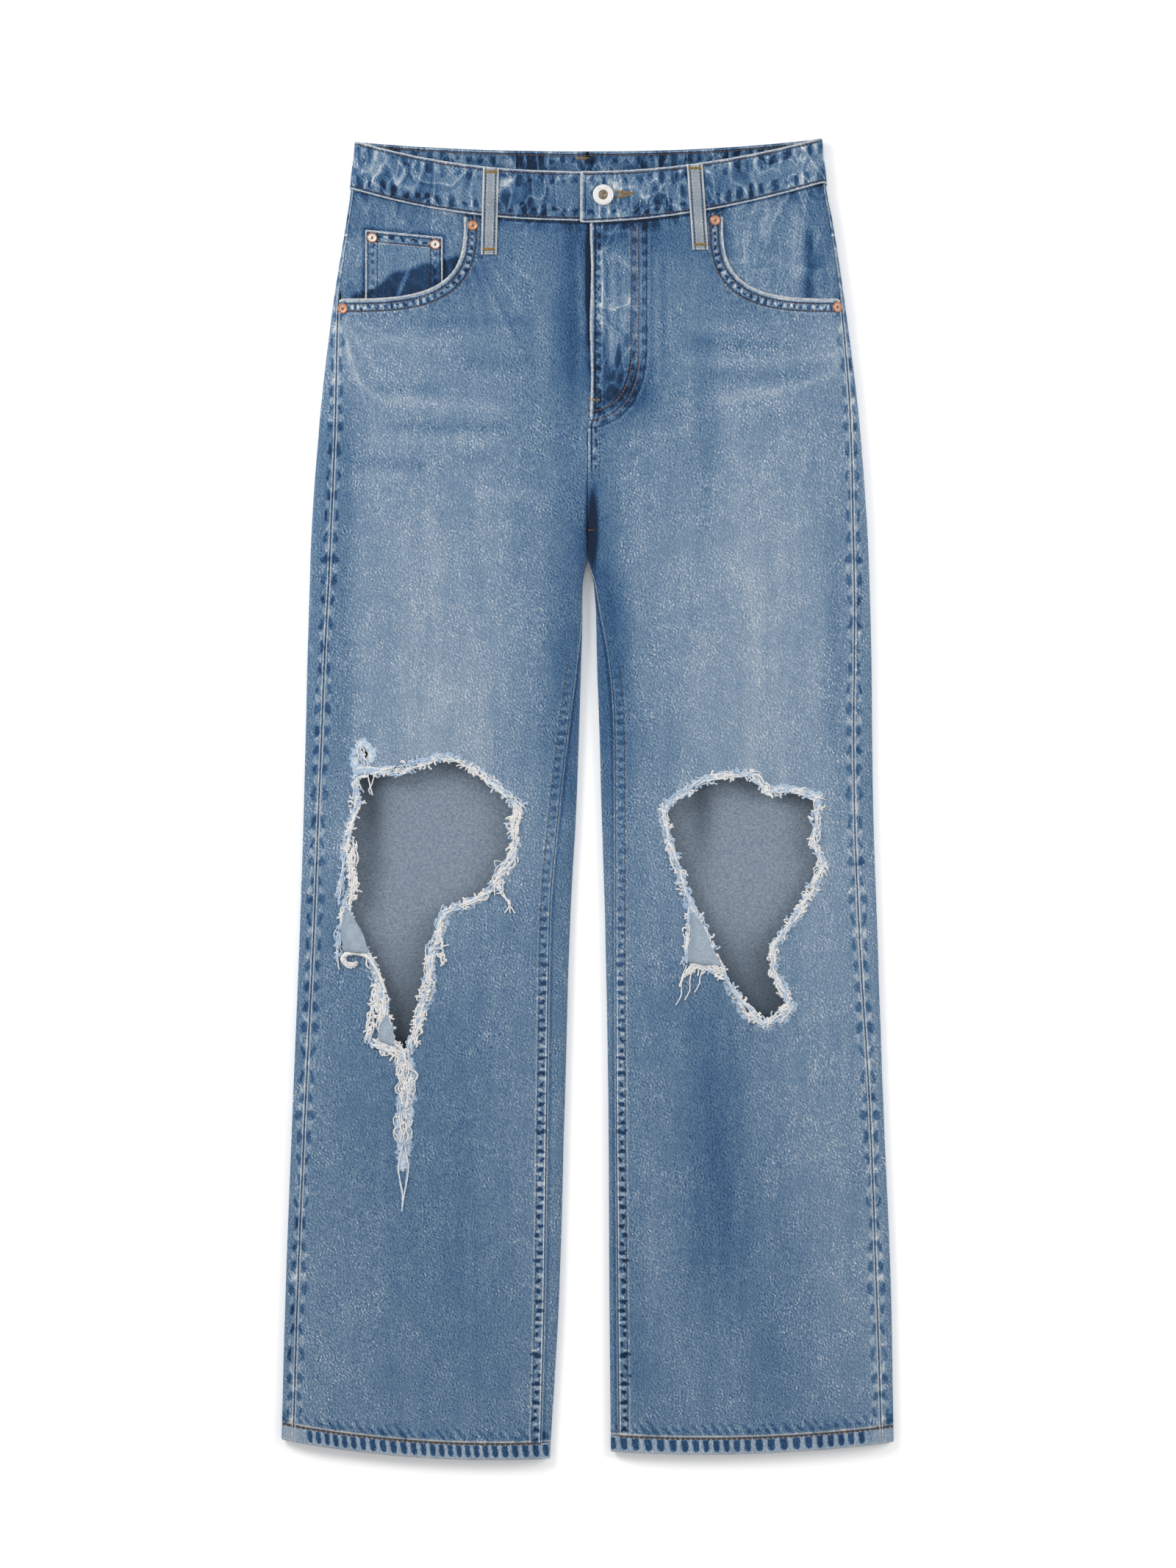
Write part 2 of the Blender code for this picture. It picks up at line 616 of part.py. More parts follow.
def add_belt_loop(row):
    """Belt loop over the waistband, its foot on the panel below it."""
    loop = dict(zip(LOOP_COLUMNS, row))
    side, front = loop["side"], loop["front"]
    middle = loop["x_top"]
    face_z = smooth(505.0, LAY, LAY_COLUMNS, "top" if front else "base")
    low, high = band_edges(side, middle, face_z, 505.0)
    top_y = high - 0.5
    heights = (top_y - loop["length"], low - 8.0, low - 2.5, low, high - 12.0, top_y)
    lifts = (GAP, GAP + 0.2, BAND / 2, BAND / 2 + GAP, BAND / 2 + GAP, BAND / 2 + GAP)

    def place(column, row):
        y = heights[row]
        along = (top_y - y) / loop["length"]
        x = middle + (loop["x_foot"] - middle) * along + LOOP_WIDTH * (column / 2 - 0.5)
        lift = lifts[row] + LOOP
        if front:
            x, z = on_section(side, y, run_at(side, y, x), lift)
        else:
            z = smooth(y, LAY, LAY_COLUMNS, "base") - lift
        return side * x, y, z

    add_sheet(loop["name"], place, 2, 5, LOOP, "denim_pale", (side == RIGHT) == front)


def add_hem(side):
    """Turned-up hem: a closed ring round the leg opening."""

    def place(column, row):
        y = HEM_LINE[side][0] + HEM_TURN * row
        for _ in range(3):
            marks = section(side, y)[3]
            stops = (0.0, marks["crown_in"], marks["crown_out"], marks["edge"],
                     marks["bench_out"], marks["bench_in"], marks["end"])
            s = spread(stops, HEM_COLUMNS)[column]
            x, z = on_section(side, y, s)
            y = hem_edge(side, x) + HEM_TURN * row
        return side * x, y, z

    name = "hem_" + SIDE_NAME[side]
    add_sheet(name, place, sum(HEM_COLUMNS), 1, HEM, "denim", side == RIGHT, ring=True)


def add_turned(name, profile, steps, look, x, y, z, tilt):
    """Round metal piece: a profile of radius and height turned about its own axis."""
    bm = bmesh.new()
    verts = [bm.verts.new((radius * MM, 0, height * MM)) for radius, height in profile]
    edges = [bm.edges.new(pair) for pair in zip(verts, verts[1:])]
    bmesh.ops.spin(bm, geom=verts + edges, cent=(0, 0, 0), axis=(0, 0, 1), steps=steps,
                   angle=2 * math.pi, use_merge=True, use_duplicate=False)
    bmesh.ops.remove_doubles(bm, verts=bm.verts, dist=1e-7)
    bmesh.ops.recalc_face_normals(bm, faces=bm.faces)
    made = add_object(name, bm, look)
    made.location = (x * MM, y * MM, z * MM)
    made.rotation_euler = (0, tilt, 0)
    made.data.shade_smooth()
    made.data.set_sharp_from_angle(angle=math.radians(40))


def surface_tilt(side, y, s):
    """Slope of the surface across the garment, as a turn about Y."""
    x0, z0 = on_section(side, y, s - RIVET_RADIUS)
    x1, z1 = on_section(side, y, s + RIVET_RADIUS)
    return -side * math.atan2(z1 - z0, x1 - x0)


def add_button():
    """Shank button: a flat ring with a sunken hub, on the band's top layer."""
    side, y = LEFT, BUTTON_Y
    _, z = on_section(side, y, run_at(side, y, BUTTON_X), BAND / 2 + GAP)
    rim = BUTTON_RADIUS
    profile = ((0, 0), (rim - 1.5, 0), (rim, 1.2), (rim, BUTTON_HEIGHT - 0.5),
               (rim - 0.6, BUTTON_HEIGHT), (BUTTON_HUB + 0.4, BUTTON_HEIGHT),
               (BUTTON_HUB, BUTTON_HEIGHT - 0.9), (0, BUTTON_HEIGHT - 0.9))
    add_turned("button", profile, 24, "white_metal", BUTTON_X, y, z, 0.0)


def add_rivet(number, row):
    """Domed rivet with a small nipple, tangent to the cloth under it."""
    rivet = dict(zip(RIVET_COLUMNS, row))
    side, y = rivet["side"], rivet["y"]
    s = run_at(side, y, rivet["x"])
    x, z = on_section(side, y, s, GAP + 0.1 - rivet["depth"])
    profile = ((0, 0), (RIVET_RADIUS, 0), (RIVET_RADIUS, 0.5), (RIVET_RADIUS - 0.9, 1.0),
               (1.8, 0.8), (1.3, RIVET_HEIGHT), (0, RIVET_HEIGHT))
    add_turned("rivet_%d" % number, profile, 14, "copper", side * x, y, z,
               surface_tilt(side, y, s))


def main():
    for old in list(bpy.data.objects):
        bpy.data.objects.remove(old)
    for side in (RIGHT, LEFT):
        add_front(side)
        add_back(side)
        add_yoke(side)
        add_facing(side)
        add_back_pocket(side)
        add_hem(side)
    add_coin_pocket()
    add_waistband()
    for row in LOOPS:
        add_belt_loop(row)
    add_button()
    for number, row in enumerate(RIVETS, start=1):
        add_rivet(number, row)


main()
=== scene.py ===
"""Ripped straight-leg jeans of washed indigo denim, laid flat on a pale surface, front up.

X runs across the garment (the wearer's right leg is at -X), +Y runs to the waist and Z is the
height above the surface.  Sizes are in millimetres until a point is made.
"""

import json
import math

import bmesh
import bpy
import numpy as np
from mathutils import Matrix, Vector

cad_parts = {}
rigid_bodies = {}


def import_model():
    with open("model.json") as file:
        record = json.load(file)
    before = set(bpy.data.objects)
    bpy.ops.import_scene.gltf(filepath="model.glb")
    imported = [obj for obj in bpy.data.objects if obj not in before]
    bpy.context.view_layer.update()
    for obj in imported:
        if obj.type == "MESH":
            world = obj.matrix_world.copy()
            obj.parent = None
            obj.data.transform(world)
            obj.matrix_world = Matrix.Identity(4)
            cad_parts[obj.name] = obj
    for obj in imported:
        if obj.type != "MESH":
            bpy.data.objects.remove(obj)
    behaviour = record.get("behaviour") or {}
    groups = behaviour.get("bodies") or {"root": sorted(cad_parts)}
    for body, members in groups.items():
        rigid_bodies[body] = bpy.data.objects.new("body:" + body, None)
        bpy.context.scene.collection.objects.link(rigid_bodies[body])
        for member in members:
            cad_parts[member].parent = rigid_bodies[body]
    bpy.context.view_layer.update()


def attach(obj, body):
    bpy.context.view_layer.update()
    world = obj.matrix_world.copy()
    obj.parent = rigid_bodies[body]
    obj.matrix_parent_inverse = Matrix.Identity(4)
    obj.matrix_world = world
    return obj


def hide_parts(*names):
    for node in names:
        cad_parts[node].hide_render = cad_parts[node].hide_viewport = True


for old in list(bpy.data.objects):
    bpy.data.objects.remove(old)
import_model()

# ---- Front panels --------------------------------------------------------------------------
# Each front is one piece of 13.5 oz indigo twill, washed and hand-sanded pale down the thigh.
# It is sewn to the back panel down the side and the inseam, and carries the torn knee and the
# curved mouth of the front pocket.
MM = 0.001
RIGHT, LEFT = -1, 1
SIDE_NAME = {RIGHT: "right", LEFT: "left"}
CLOTH = 1.2
GAP = 0.3
HEM_TURN = 13
CROTCH_Y = 199
CROTCH_EASE, CROTCH_EASE_END_Y = 0.4, 130
FLY_END_Y = 322
OUTER_RADIUS = 4

CUT_COLUMNS = ("y", "out", "side", "seam", "inner")
CUT = {
    RIGHT: (
        (540, 188.6, 186.6, 0.15, 0.15),
        (497, 193.4, 190.8, 0.15, 0.15),
        (472, 197.1, 194, 0.15, 0.15),
        (400, 208.5, 203.7, 0.15, 0.15),
        (300, 219.8, 206.2, 0.15, 0.15),
        (199, 226.5, 210.5, 0.15, 0.15),
        (175, 227.1, 211.5, 4, 4),
        (150, 228, 213, 4.8, 4.2),
        (110, 229.2, 215, 9.2, 5.3),
        (60, 230.3, 216.9, 15.6, 6.8),
        (-5, 232, 219.6, 23, 9.1),
        (-100, 235, 223.2, 30.9, 14.2),
        (-260, 241.5, 231, 33.3, 18.9),
        (-400, 246.8, 236.8, 35.1, 23),
        (-540, 250.7, 241, 38.6, 31),
    ),
    LEFT: (
        (540, 190.3, 188.3, 0.15, 0.15),
        (497, 195.2, 192.7, 0.15, 0.15),
        (472, 200.1, 197.2, 0.15, 0.15),
        (400, 210.9, 207.4, 0.15, 0.15),
        (300, 222.8, 215, 0.15, 0.15),
        (199, 229.7, 217.3, 0.15, 0.15),
        (175, 230.6, 217.8, 6.6, 5),
        (150, 231.3, 218, 11.2, 6.8),
        (110, 232.1, 217.8, 18.2, 7.6),
        (60, 232.5, 217.3, 22, 9.4),
        (-5, 233.4, 217.9, 22.5, 11.2),
        (-100, 236.5, 221.4, 22.7, 14.2),
        (-260, 242.1, 230.8, 23.2, 17),
        (-400, 247.9, 236, 24.3, 17.7),
        (-540, 250.5, 240.6, 25.6, 19),
    ),
}
LAY_COLUMNS = ("y", "top", "base", "mid", "front_open", "back_open",
               "round_out", "round_in", "round_low")
LAY = (
    (540, 13.5, 3.3, 8, 1, 1, 12, 14, 14),
    (478, 14, 3.3, 8, 1, 1, 14, 14, 14),
    (444, 14.3, 2.1, 8, 1, 1, 16, 14, 14),
    (410, 14.6, 1.5, 8, 1, 1, 18, 14, 14),
    (285, 15, 1.5, 7.8, 1, 1, 24, 14, 14),
    (240, 15, 1.5, 7.4, 0.65, 0.9, 25, 14, 14),
    (215, 14.6, 1.1, 7, 0.2, 0.45, 26, 14, 14),
    (199, 14.2, 0.8, 6.8, 0, 0, 26, 14, 13),
    (150, 13.6, 0, 5.6, 0, 0, 28, 19, 9),
    (110, 13.2, 0, 5, 0, 0, 28, 25, 6),
    (0, 12.4, 0, 4.2, 0, 0, 30, 30, 5),
    (-260, 11.8, 0, 4, 0, 0, 30, 28, 5),
    (-540, 10.6, 0, 4, 0, 0, 28, 26, 5),
)
FOLD_COLUMNS = ("side", "x0", "y0", "x1", "y1", "width", "depth")
FOLDS = (
    (LEFT, 121, -150, 114, -450, 26, 2.4),
    (LEFT, 52, -330, 46, -545, 20, 1.6),
    (LEFT, 176, -240, 190, -520, 18, 0.9),
    (LEFT, 48, 330, 88, 250, 22, 0.8),
    (RIGHT, 112, -300, 124, -520, 26, 1),
    (RIGHT, 160, 345, 60, 318, 16, 0.7),
    (RIGHT, 62, 190, 90, 70, 24, 0.8),
)


def smooth(y, table, columns, name):
    """Values of a table's column at heights y, on a curve that never overshoots its rows."""
    rows = sorted(table)
    ys = np.array([row[0] for row in rows])
    values = np.array([row[columns.index(name)] for row in rows])
    y = np.clip(y, ys[0], ys[-1])
    steps = np.diff(ys)
    slopes = np.diff(values) / steps
    total = slopes[:-1] + slopes[1:]
    turning = slopes[:-1] * slopes[1:] > 0
    inside = np.where(turning, 2 * slopes[:-1] * slopes[1:] / np.where(turning, total, 1), 0)
    tangents = np.concatenate([slopes[:1], inside, slopes[-1:]])
    i = np.clip(np.searchsorted(ys, y) - 1, 0, len(steps) - 1)
    t = (y - ys[i]) / steps[i]
    start = (1 + 2 * t) * (1 - t) ** 2 * values[i] + t * (1 - t) ** 2 * steps[i] * tangents[i]
    end = t * t * (3 - 2 * t) * values[i + 1] + t * t * (t - 1) * steps[i] * tangents[i + 1]
    return start + end


def ramp(value, start, end):
    """Soft step from 0 at start to 1 at end."""
    t = np.clip((value - start) / (end - start), 0, 1)
    return t * t * (3 - 2 * t)


def folds_depth(side, x, y):
    """Depth of the soft folds under the flat top face."""
    depth = np.zeros(np.shape(x))
    for row in FOLDS:
        fold = dict(zip(FOLD_COLUMNS, row))
        if fold["side"] != side:
            continue
        run_x, run_y = fold["x1"] - fold["x0"], fold["y1"] - fold["y0"]
        length = math.hypot(run_x, run_y)
        along = ((x - fold["x0"]) * run_x + (y - fold["y0"]) * run_y) / length ** 2
        offset = ((x - fold["x0"]) * run_y - (y - fold["y0"]) * run_x) / length
        fade = np.sin(math.pi * np.clip(along, 0, 1)) ** 0.7
        depth += fold["depth"] * fade * np.exp(-(offset / fold["width"]) ** 2 * 2)
    return depth


def section(side, y):
    """Outer surface of one half at height y, from the front's inner edge over the top, round the
    outer fold and along the underside to the back's inner edge, with x counted outwards."""
    at = {name: float(smooth(y, CUT[side], CUT_COLUMNS, name)) for name in CUT_COLUMNS[1:]}
    at.update({name: float(smooth(y, LAY, LAY_COLUMNS, name)) for name in LAY_COLUMNS[1:]})
    front_end = at["mid"] + at["front_open"] * (at["top"] - at["mid"])
    back_end = at["mid"] + at["back_open"] * (at["base"] - at["mid"])
    outer_mid = at["base"] + OUTER_RADIUS
    turn = np.linspace(0, math.pi / 2, 17)

    inner_x = at["inner"] + at["round_in"] * (1 - np.cos(turn))
    inner_z = front_end + (at["top"] - front_end) * np.sin(turn)
    flat_x = np.linspace(inner_x[-1], at["out"] - at["round_out"], 60)[1:-1]
    outer_x = at["out"] - at["round_out"] * (1 - np.sin(turn))
    outer_z = outer_mid + (at["top"] - outer_mid) * np.cos(turn)
    top_x = np.concatenate([inner_x, flat_x, outer_x])
    top_z = np.concatenate([inner_z, np.full(len(flat_x), at["top"]), outer_z])
    share = np.clip((top_z - outer_mid) / (at["top"] - outer_mid), 0, None)
    top_z -= folds_depth(side, top_x, y) * share ** 2

    under_x = at["out"] - OUTER_RADIUS * (1 - np.cos(turn))
    under_z = outer_mid - OUTER_RADIUS * np.sin(turn)
    tip_x = at["inner"] + at["round_low"] * (1 - np.sin(turn))
    tip_z = at["base"] + (back_end - at["base"]) * (1 - np.cos(turn))
    xs = np.concatenate([top_x, under_x[1:], tip_x])
    zs = np.concatenate([top_z, under_z[1:], tip_z])
    run = np.concatenate([[0], np.cumsum(np.hypot(np.diff(xs), np.diff(zs)))])
    top_run = run[:len(top_x)]
    marks = {
        "crown_out": run[len(inner_x) + len(flat_x)],
        "side": np.interp(at["side"], top_x, top_run),
        "seam": np.interp(at["seam"], top_x, top_run) if y < CROTCH_Y else 0,
        "edge": run[len(top_x) - 1],
        "bench_out": run[len(top_x) + len(under_x) - 2],
        "end": run[-1],
    }
    return xs, zs, run, marks


HEIGHT_STEP, RUN_STEP = 2, 0.5
HEIGHTS = np.arange(-546, 549, HEIGHT_STEP)
RUNS = np.arange(-45, 570, RUN_STEP)
TOP_SPOTS = 300


def lay_down(side):
    """The whole surface of one half as a table of x and z over height and distance round it."""
    laid = {"x": [], "z": [], "x_of_top": [], "run_of_top": []}
    for y in HEIGHTS:
        xs, zs, run, marks = section(side, y)
        total = marks["end"]
        here = np.where((RUNS > total) & (y < CROTCH_Y), RUNS - total, RUNS)
        laid["x"].append(np.interp(here, run, xs) + np.minimum(here, 0))
        laid["z"].append(np.interp(here, run, zs))
        for name, value in marks.items():
            laid.setdefault(name, []).append(value)
        top = run <= marks["edge"] + 1e-9
        places = np.linspace(xs[0], xs[top][-1], TOP_SPOTS)
        laid["x_of_top"].append(places)
        laid["run_of_top"].append(np.interp(places, xs[top], run[top]))
    return {name: np.array(values) for name, values in laid.items()}


LAID = {side: lay_down(side) for side in (RIGHT, LEFT)}


def between(field, row, column):
    """Value of a table between its rows and columns."""
    i = np.clip(row.astype(int), 0, field.shape[0] - 2)
    j = np.clip(column.astype(int), 0, field.shape[1] - 2)
    a, b = row - i, column - j
    low = field[i, j] * (1 - b) + field[i, j + 1] * b
    high = field[i + 1, j] * (1 - b) + field[i + 1, j + 1] * b
    return low * (1 - a) + high * a


def height_row(y):
    """Place of heights y among the rows of the laid tables."""
    return np.clip((y - HEIGHTS[0]) / HEIGHT_STEP, 0, len(HEIGHTS) - 1.001)


def on_cloth(side, y, s, lift=0):
    """Points at height y and distance s round the surface, moved out of it by lift."""
    y, s = np.broadcast_arrays(np.asarray(y, float), np.asarray(s, float))
    row = height_row(y)
    column = np.clip((s - RUNS[0]) / RUN_STEP, 1, len(RUNS) - 3.001)
    (x, run_x), (z, run_z) = (
        (between(field, row, column),
         between(field, row, column + 1) - between(field, row, column - 1))
        for field in (LAID[side]["x"], LAID[side]["z"]))
    size = np.maximum(np.hypot(run_x, run_z), 1e-9)
    return x - lift * run_z / size, z + lift * run_x / size


def mark(side, y, name):
    """Distance of one of the section's marks at heights y."""
    return np.interp(y, HEIGHTS, LAID[side][name])


def run_at(side, y, x):
    """Distance round the surface of the top-face point at x."""
    y, x = np.broadcast_arrays(np.asarray(y, float), np.asarray(x, float))
    row, last = height_row(y), TOP_SPOTS - 1.001
    starts = between(LAID[side]["x_of_top"], row, np.zeros(y.shape))
    ends = between(LAID[side]["x_of_top"], row, np.full(y.shape, last))
    column = (x - starts) / (ends - starts) * (TOP_SPOTS - 1)
    run = between(LAID[side]["run_of_top"], row, np.clip(column, 0, last))
    return np.where(x > starts, run, x - starts)


# Waistband and hem lines that the panels stop at
BAND_FRONT_TOP = {RIGHT: (512.4, 24.7, 2.3), LEFT: (512.4, 27, 1.9)}
BAND_BACK_TOP = {RIGHT: (529.4, 7.7, 2.2), LEFT: (529.4, 10, 2.2)}
BAND_FRONT_HEIGHT = {RIGHT: (40.4, 40.2), LEFT: (42, 37.2)}
BAND_BACK_HEIGHT = 40
BAND_HALF = 189
BAND_Y = 505              # a height inside the waistband
HEM_LINE = {RIGHT: (-539.9, 75, 0.00054), LEFT: (-535.4, 95, 0.00042)}


def rising(x, rule):
    """Height of a waistband edge at distance x from the centre line."""
    centre, rise, power = rule
    return centre + rise * (np.abs(x) / BAND_HALF) ** power


def band_edges(side, x, z, y):
    """Lower and upper edge of the waistband where the section passes through x and z."""
    base = smooth(y, LAY, LAY_COLUMNS, "base")
    top = smooth(y, LAY, LAY_COLUMNS, "top")
    front = ramp(z, base, top)
    upper = (1 - front) * rising(x, BAND_BACK_TOP[side]) + front * rising(x, BAND_FRONT_TOP[side])
    centre, edge = BAND_FRONT_HEIGHT[side]
    height = centre + (edge - centre) * np.abs(x) / BAND_HALF
    return upper - (1 - front) * BAND_BACK_HEIGHT - front * height, upper


def hem_edge(side, x):
    """Height of the hem line at distance x from the centre line."""
    lowest, where, curve = HEM_LINE[side]
    return lowest + curve * (x - where) ** 2


def inseam_room(y):
    """Half the gap of the inseam, and of nothing above the crotch."""
    return np.where(y <= CROTCH_Y, GAP / 2 + CROTCH_EASE * ramp(y, CROTCH_EASE_END_Y, CROTCH_Y), 0)


# The wash: how worn the cloth is, from 0 for raw indigo to 1 for white, across each leg from its
# outer edge to its inner edge, at each height.
WASH_COLUMNS = ("y", "edge", "outer", "middle", "inner", "near", "fork")
WASH_PLACES = (0.06, 0.22, 0.42, 0.62, 0.82, 0.96)
WASH = {
    RIGHT: (
        (500, 0.5, 0.48, 0.45, 0.45, 0.45, 0.4),
        (460, 0.55, 0.52, 0.55, 0.45, 0.46, 0.36),
        (424, 0.58, 0.5, 0.48, 0.48, 0.52, 0.45),
        (364, 0.66, 0.66, 0.64, 0.58, 0.53, 0.43),
        (300, 0.55, 0.66, 0.66, 0.63, 0.54, 0.48),
        (184, 0.54, 0.69, 0.71, 0.68, 0.59, 0.42),
        (100, 0.56, 0.68, 0.75, 0.73, 0.62, 0.38),
        (30, 0.57, 0.66, 0.76, 0.71, 0.6, 0.38),
        (-31, 0.58, 0.6, 0.7, 0.66, 0.63, 0.45),
        (-103, 0.52, 0.5, 0.58, 0.55, 0.51, 0.46),
        (-175, 0.51, 0.45, 0.48, 0.46, 0.51, 0.48),
        (-259, 0.53, 0.45, 0.44, 0.43, 0.52, 0.51),
        (-355, 0.5, 0.5, 0.44, 0.42, 0.5, 0.52),
        (-451, 0.53, 0.51, 0.47, 0.43, 0.45, 0.52),
        (-520, 0.55, 0.48, 0.47, 0.47, 0.46, 0.46),
    ),
    LEFT: (
        (500, 0.5, 0.48, 0.45, 0.45, 0.42, 0.4),
        (460, 0.55, 0.58, 0.47, 0.42, 0.38, 0.36),
        (424, 0.56, 0.55, 0.47, 0.52, 0.5, 0.52),
        (364, 0.66, 0.63, 0.61, 0.57, 0.5, 0.5),
        (300, 0.62, 0.66, 0.69, 0.6, 0.57, 0.5),
        (184, 0.61, 0.71, 0.74, 0.69, 0.62, 0.36),
        (100, 0.59, 0.7, 0.74, 0.7, 0.61, 0.34),
        (30, 0.58, 0.7, 0.75, 0.7, 0.57, 0.39),
        (-31, 0.6, 0.7, 0.7, 0.64, 0.58, 0.45),
        (-103, 0.6, 0.65, 0.62, 0.52, 0.54, 0.5),
        (-175, 0.6, 0.61, 0.54, 0.42, 0.47, 0.52),
        (-259, 0.57, 0.59, 0.56, 0.37, 0.5, 0.49),
        (-355, 0.58, 0.57, 0.48, 0.37, 0.52, 0.46),
        (-451, 0.58, 0.55, 0.43, 0.48, 0.5, 0.42),
        (-520, 0.56, 0.46, 0.44, 0.5, 0.44, 0.48),
    ),
}
# Local patches of the wash and of painted shade: side, centre, half widths and how much paler or
# darker.
PATCHES = (
    (LEFT, 7, 320, 8, 26, -0.22),
    (LEFT, 26, 338, 20, 26, -0.3),
    (LEFT, 44, 333, 20, 26, -0.14),
    (LEFT, 18, 420, 9, 60, 0.06),
    (LEFT, 118, -300, 35, 90, -0.06),
    (LEFT, 30, 470, 22, 12, -0.2),
    (LEFT, 52, 408, 10, 60, -0.08),
    (RIGHT, 14, 400, 12, 70, -0.16),
    (RIGHT, 90, 440, 14, 30, -0.1),
    # Painted shade: the crotch groove and the slit beside the fly, near black.
    (LEFT, 4, 222, 3.6, 28, -0.9),
    (RIGHT, 4, 215, 6, 34, -0.12),
    (RIGHT, -1.5, 424, 2.4, 42, -1.3),
    (RIGHT, 0, 232, 1.6, 30, -0.4),
    (RIGHT, 212, 150, 16, 190, -0.06),
)
# Whiskers and other long marks: side, start, end, half width and how much paler or darker.
STREAKS = (
    (RIGHT, 199, 396, 194, 350, 2.5, 0.11), (RIGHT, 194, 350, 172, 326, 2.5, 0.11),
    (RIGHT, 172, 326, 60, 318, 4.5, 0.09), (RIGHT, 197, 392, 152, 373, 2.5, 0.07),
    (RIGHT, 190, 374, 100, 374, 5, 0.07), (RIGHT, 150, 389, 45, 390, 5, -0.09),
    (RIGHT, 100, 357, 48, 355, 7, -0.09), (RIGHT, 175, 336, 118, 334, 4, -0.09),
    (RIGHT, 165, 304, 60, 304, 5, -0.09), (RIGHT, 185, 293, 70, 292, 5, 0.06),
    (RIGHT, 190, 275, 133, 273, 5, -0.09), (RIGHT, 195, 264, 150, 264, 5, 0.06),
    (RIGHT, 110, 277, 80, 280, 5, -0.06), (RIGHT, 100, 250, 33, 248, 6, 0.06),
    (RIGHT, 196, 330, 199, 30, 6, -0.08), (RIGHT, 22, 250, 42, 20, 11, -0.05),
    (LEFT, 80, 386, 140, 383, 5, 0.07), (LEFT, 76, 357, 140, 357, 4, 0.08),
    (LEFT, 140, 357, 204, 363, 3, 0.07), (LEFT, 102, 325, 162, 334, 4, 0.1),
    (LEFT, 162, 334, 202, 348, 3, 0.1), (LEFT, 202, 348, 207, 396, 2.5, 0.1),
    (LEFT, 50, 297, 85, 301, 5, 0.06), (LEFT, 80, 372, 160, 371, 5, -0.08),
    (LEFT, 95, 346, 185, 346, 5, -0.09), (LEFT, 139, 312, 177, 312, 6, -0.06),
    (LEFT, 95, 387, 95, 218, 8, -0.07), (LEFT, 199, 250, 201, 40, 6, -0.08),
    (LEFT, 16, 190, 44, 30, 10, -0.05),
    (LEFT, 11, 448, 11, 330, 1.8, 0.1), (LEFT, 16, 440, 15, 352, 1.3, -0.14),
    (LEFT, 21, 455, 20, 350, 1.5, 0.08), (LEFT, 26, 430, 25, 360, 1.3, -0.1),
    (LEFT, 30, 452, 31, 345, 1.6, 0.08), (LEFT, 56, 452, 57, 330, 2.2, 0.1),
    (LEFT, 62, 440, 62, 360, 2, -0.07), (LEFT, 67, 446, 68, 350, 1.6, 0.07),
    (RIGHT, 8, 455, 5, 380, 1.6, 0.12), (RIGHT, 93, 445, 66, 380, 1.5, 0.14),
    (RIGHT, 97, 440, 84, 372, 1.5, 0.13), (RIGHT, 88, 448, 52, 398, 1.5, 0.12),
    (RIGHT, 84, 452, 40, 420, 1.5, 0.12), (RIGHT, 86, 430, 48, 360, 1.6, -0.1),
    (RIGHT, 195, 385, 163, 335, 1.5, 0.11), (RIGHT, 199, 380, 180, 318, 1.5, 0.11),
)


def wash_and_shade(side, x, y):
    """How worn the cloth is at points of the top face, with shade painted into the crotch and the
    fly's slit.
    """
    out = smooth(y, CUT[side], CUT_COLUMNS, "out")
    inner = smooth(y, CUT[side], CUT_COLUMNS, "inner")
    across = np.clip((out - x) / (out - inner), 0, 1)
    levels = [smooth(y, WASH[side], WASH_COLUMNS, name) for name in WASH_COLUMNS[1:]]
    wear_and_shade = levels[0]
    for i, (start, end) in enumerate(zip(WASH_PLACES, WASH_PLACES[1:])):
        step = ramp(across, start, end)
        wear_and_shade = wear_and_shade * (1 - step) + levels[i + 1] * step
    for patch_side, px, py, rx, ry, amount in PATCHES:
        if patch_side == side:
            wear_and_shade = wear_and_shade + amount * np.exp(-((x - px) / rx) ** 2 - ((y - py) / ry) ** 2)
    for streak_side, x0, y0, x1, y1, half, amount in STREAKS:
        if streak_side == side:
            run = (x1 - x0) ** 2 + (y1 - y0) ** 2
            along = ((x - x0) * (x1 - x0) + (y - y0) * (y1 - y0)) / run
            off = ((x - x0) * (y1 - y0) - (y - y0) * (x1 - x0)) / math.sqrt(run)
            ends = ramp(along, -0.06, 0.1) * ramp(along, 1.06, 0.9)
            wear_and_shade = wear_and_shade + amount * ends * np.exp(-(off / half) ** 2)
    return wear_and_shade - 0.04 * ramp(y, -60, 40) - 0.02 * ramp(y, 200, 300)


# Knee rips: corners of the torn edge, as distances from the centre line.
RIP = {
    RIGHT: ((188, 18), (170, 22), (155, 20), (138, 27), (122, 33), (108, 31), (92, 23), (72, 8),
            (56, -9), (63, -20), (59, -36), (63, -52), (77, -68), (92, -83), (117, -92),
            (121, -108), (129, -126), (129, -156), (138, -178), (148, -207), (158, -199),
            (166, -160), (175, -132), (190, -110), (197, -86), (189, -66), (198, -42),
            (193, -20), (186, -5)),
    LEFT: ((61, -8), (75, 2), (91, 14), (112, 18), (134, 20), (147, 6), (166, 7), (187, 2),
           (186, -22), (183, -36), (192, -53), (184, -72), (173, -90), (162, -105), (151, -120),
           (150, -141), (160, -155), (166, -170), (158, -179), (144, -183), (130, -175),
           (118, -155), (104, -125), (92, -99), (82, -80), (78, -62), (68, -38)),
}
BRAID = ((152, -205), (147, -232), (150, -262), (150, -286), (151, -300))
SMALL_HOLE = ((183, 30), (179, 37), (184, 43), (187, 33), (186, 27))
dice = np.random.default_rng(7)


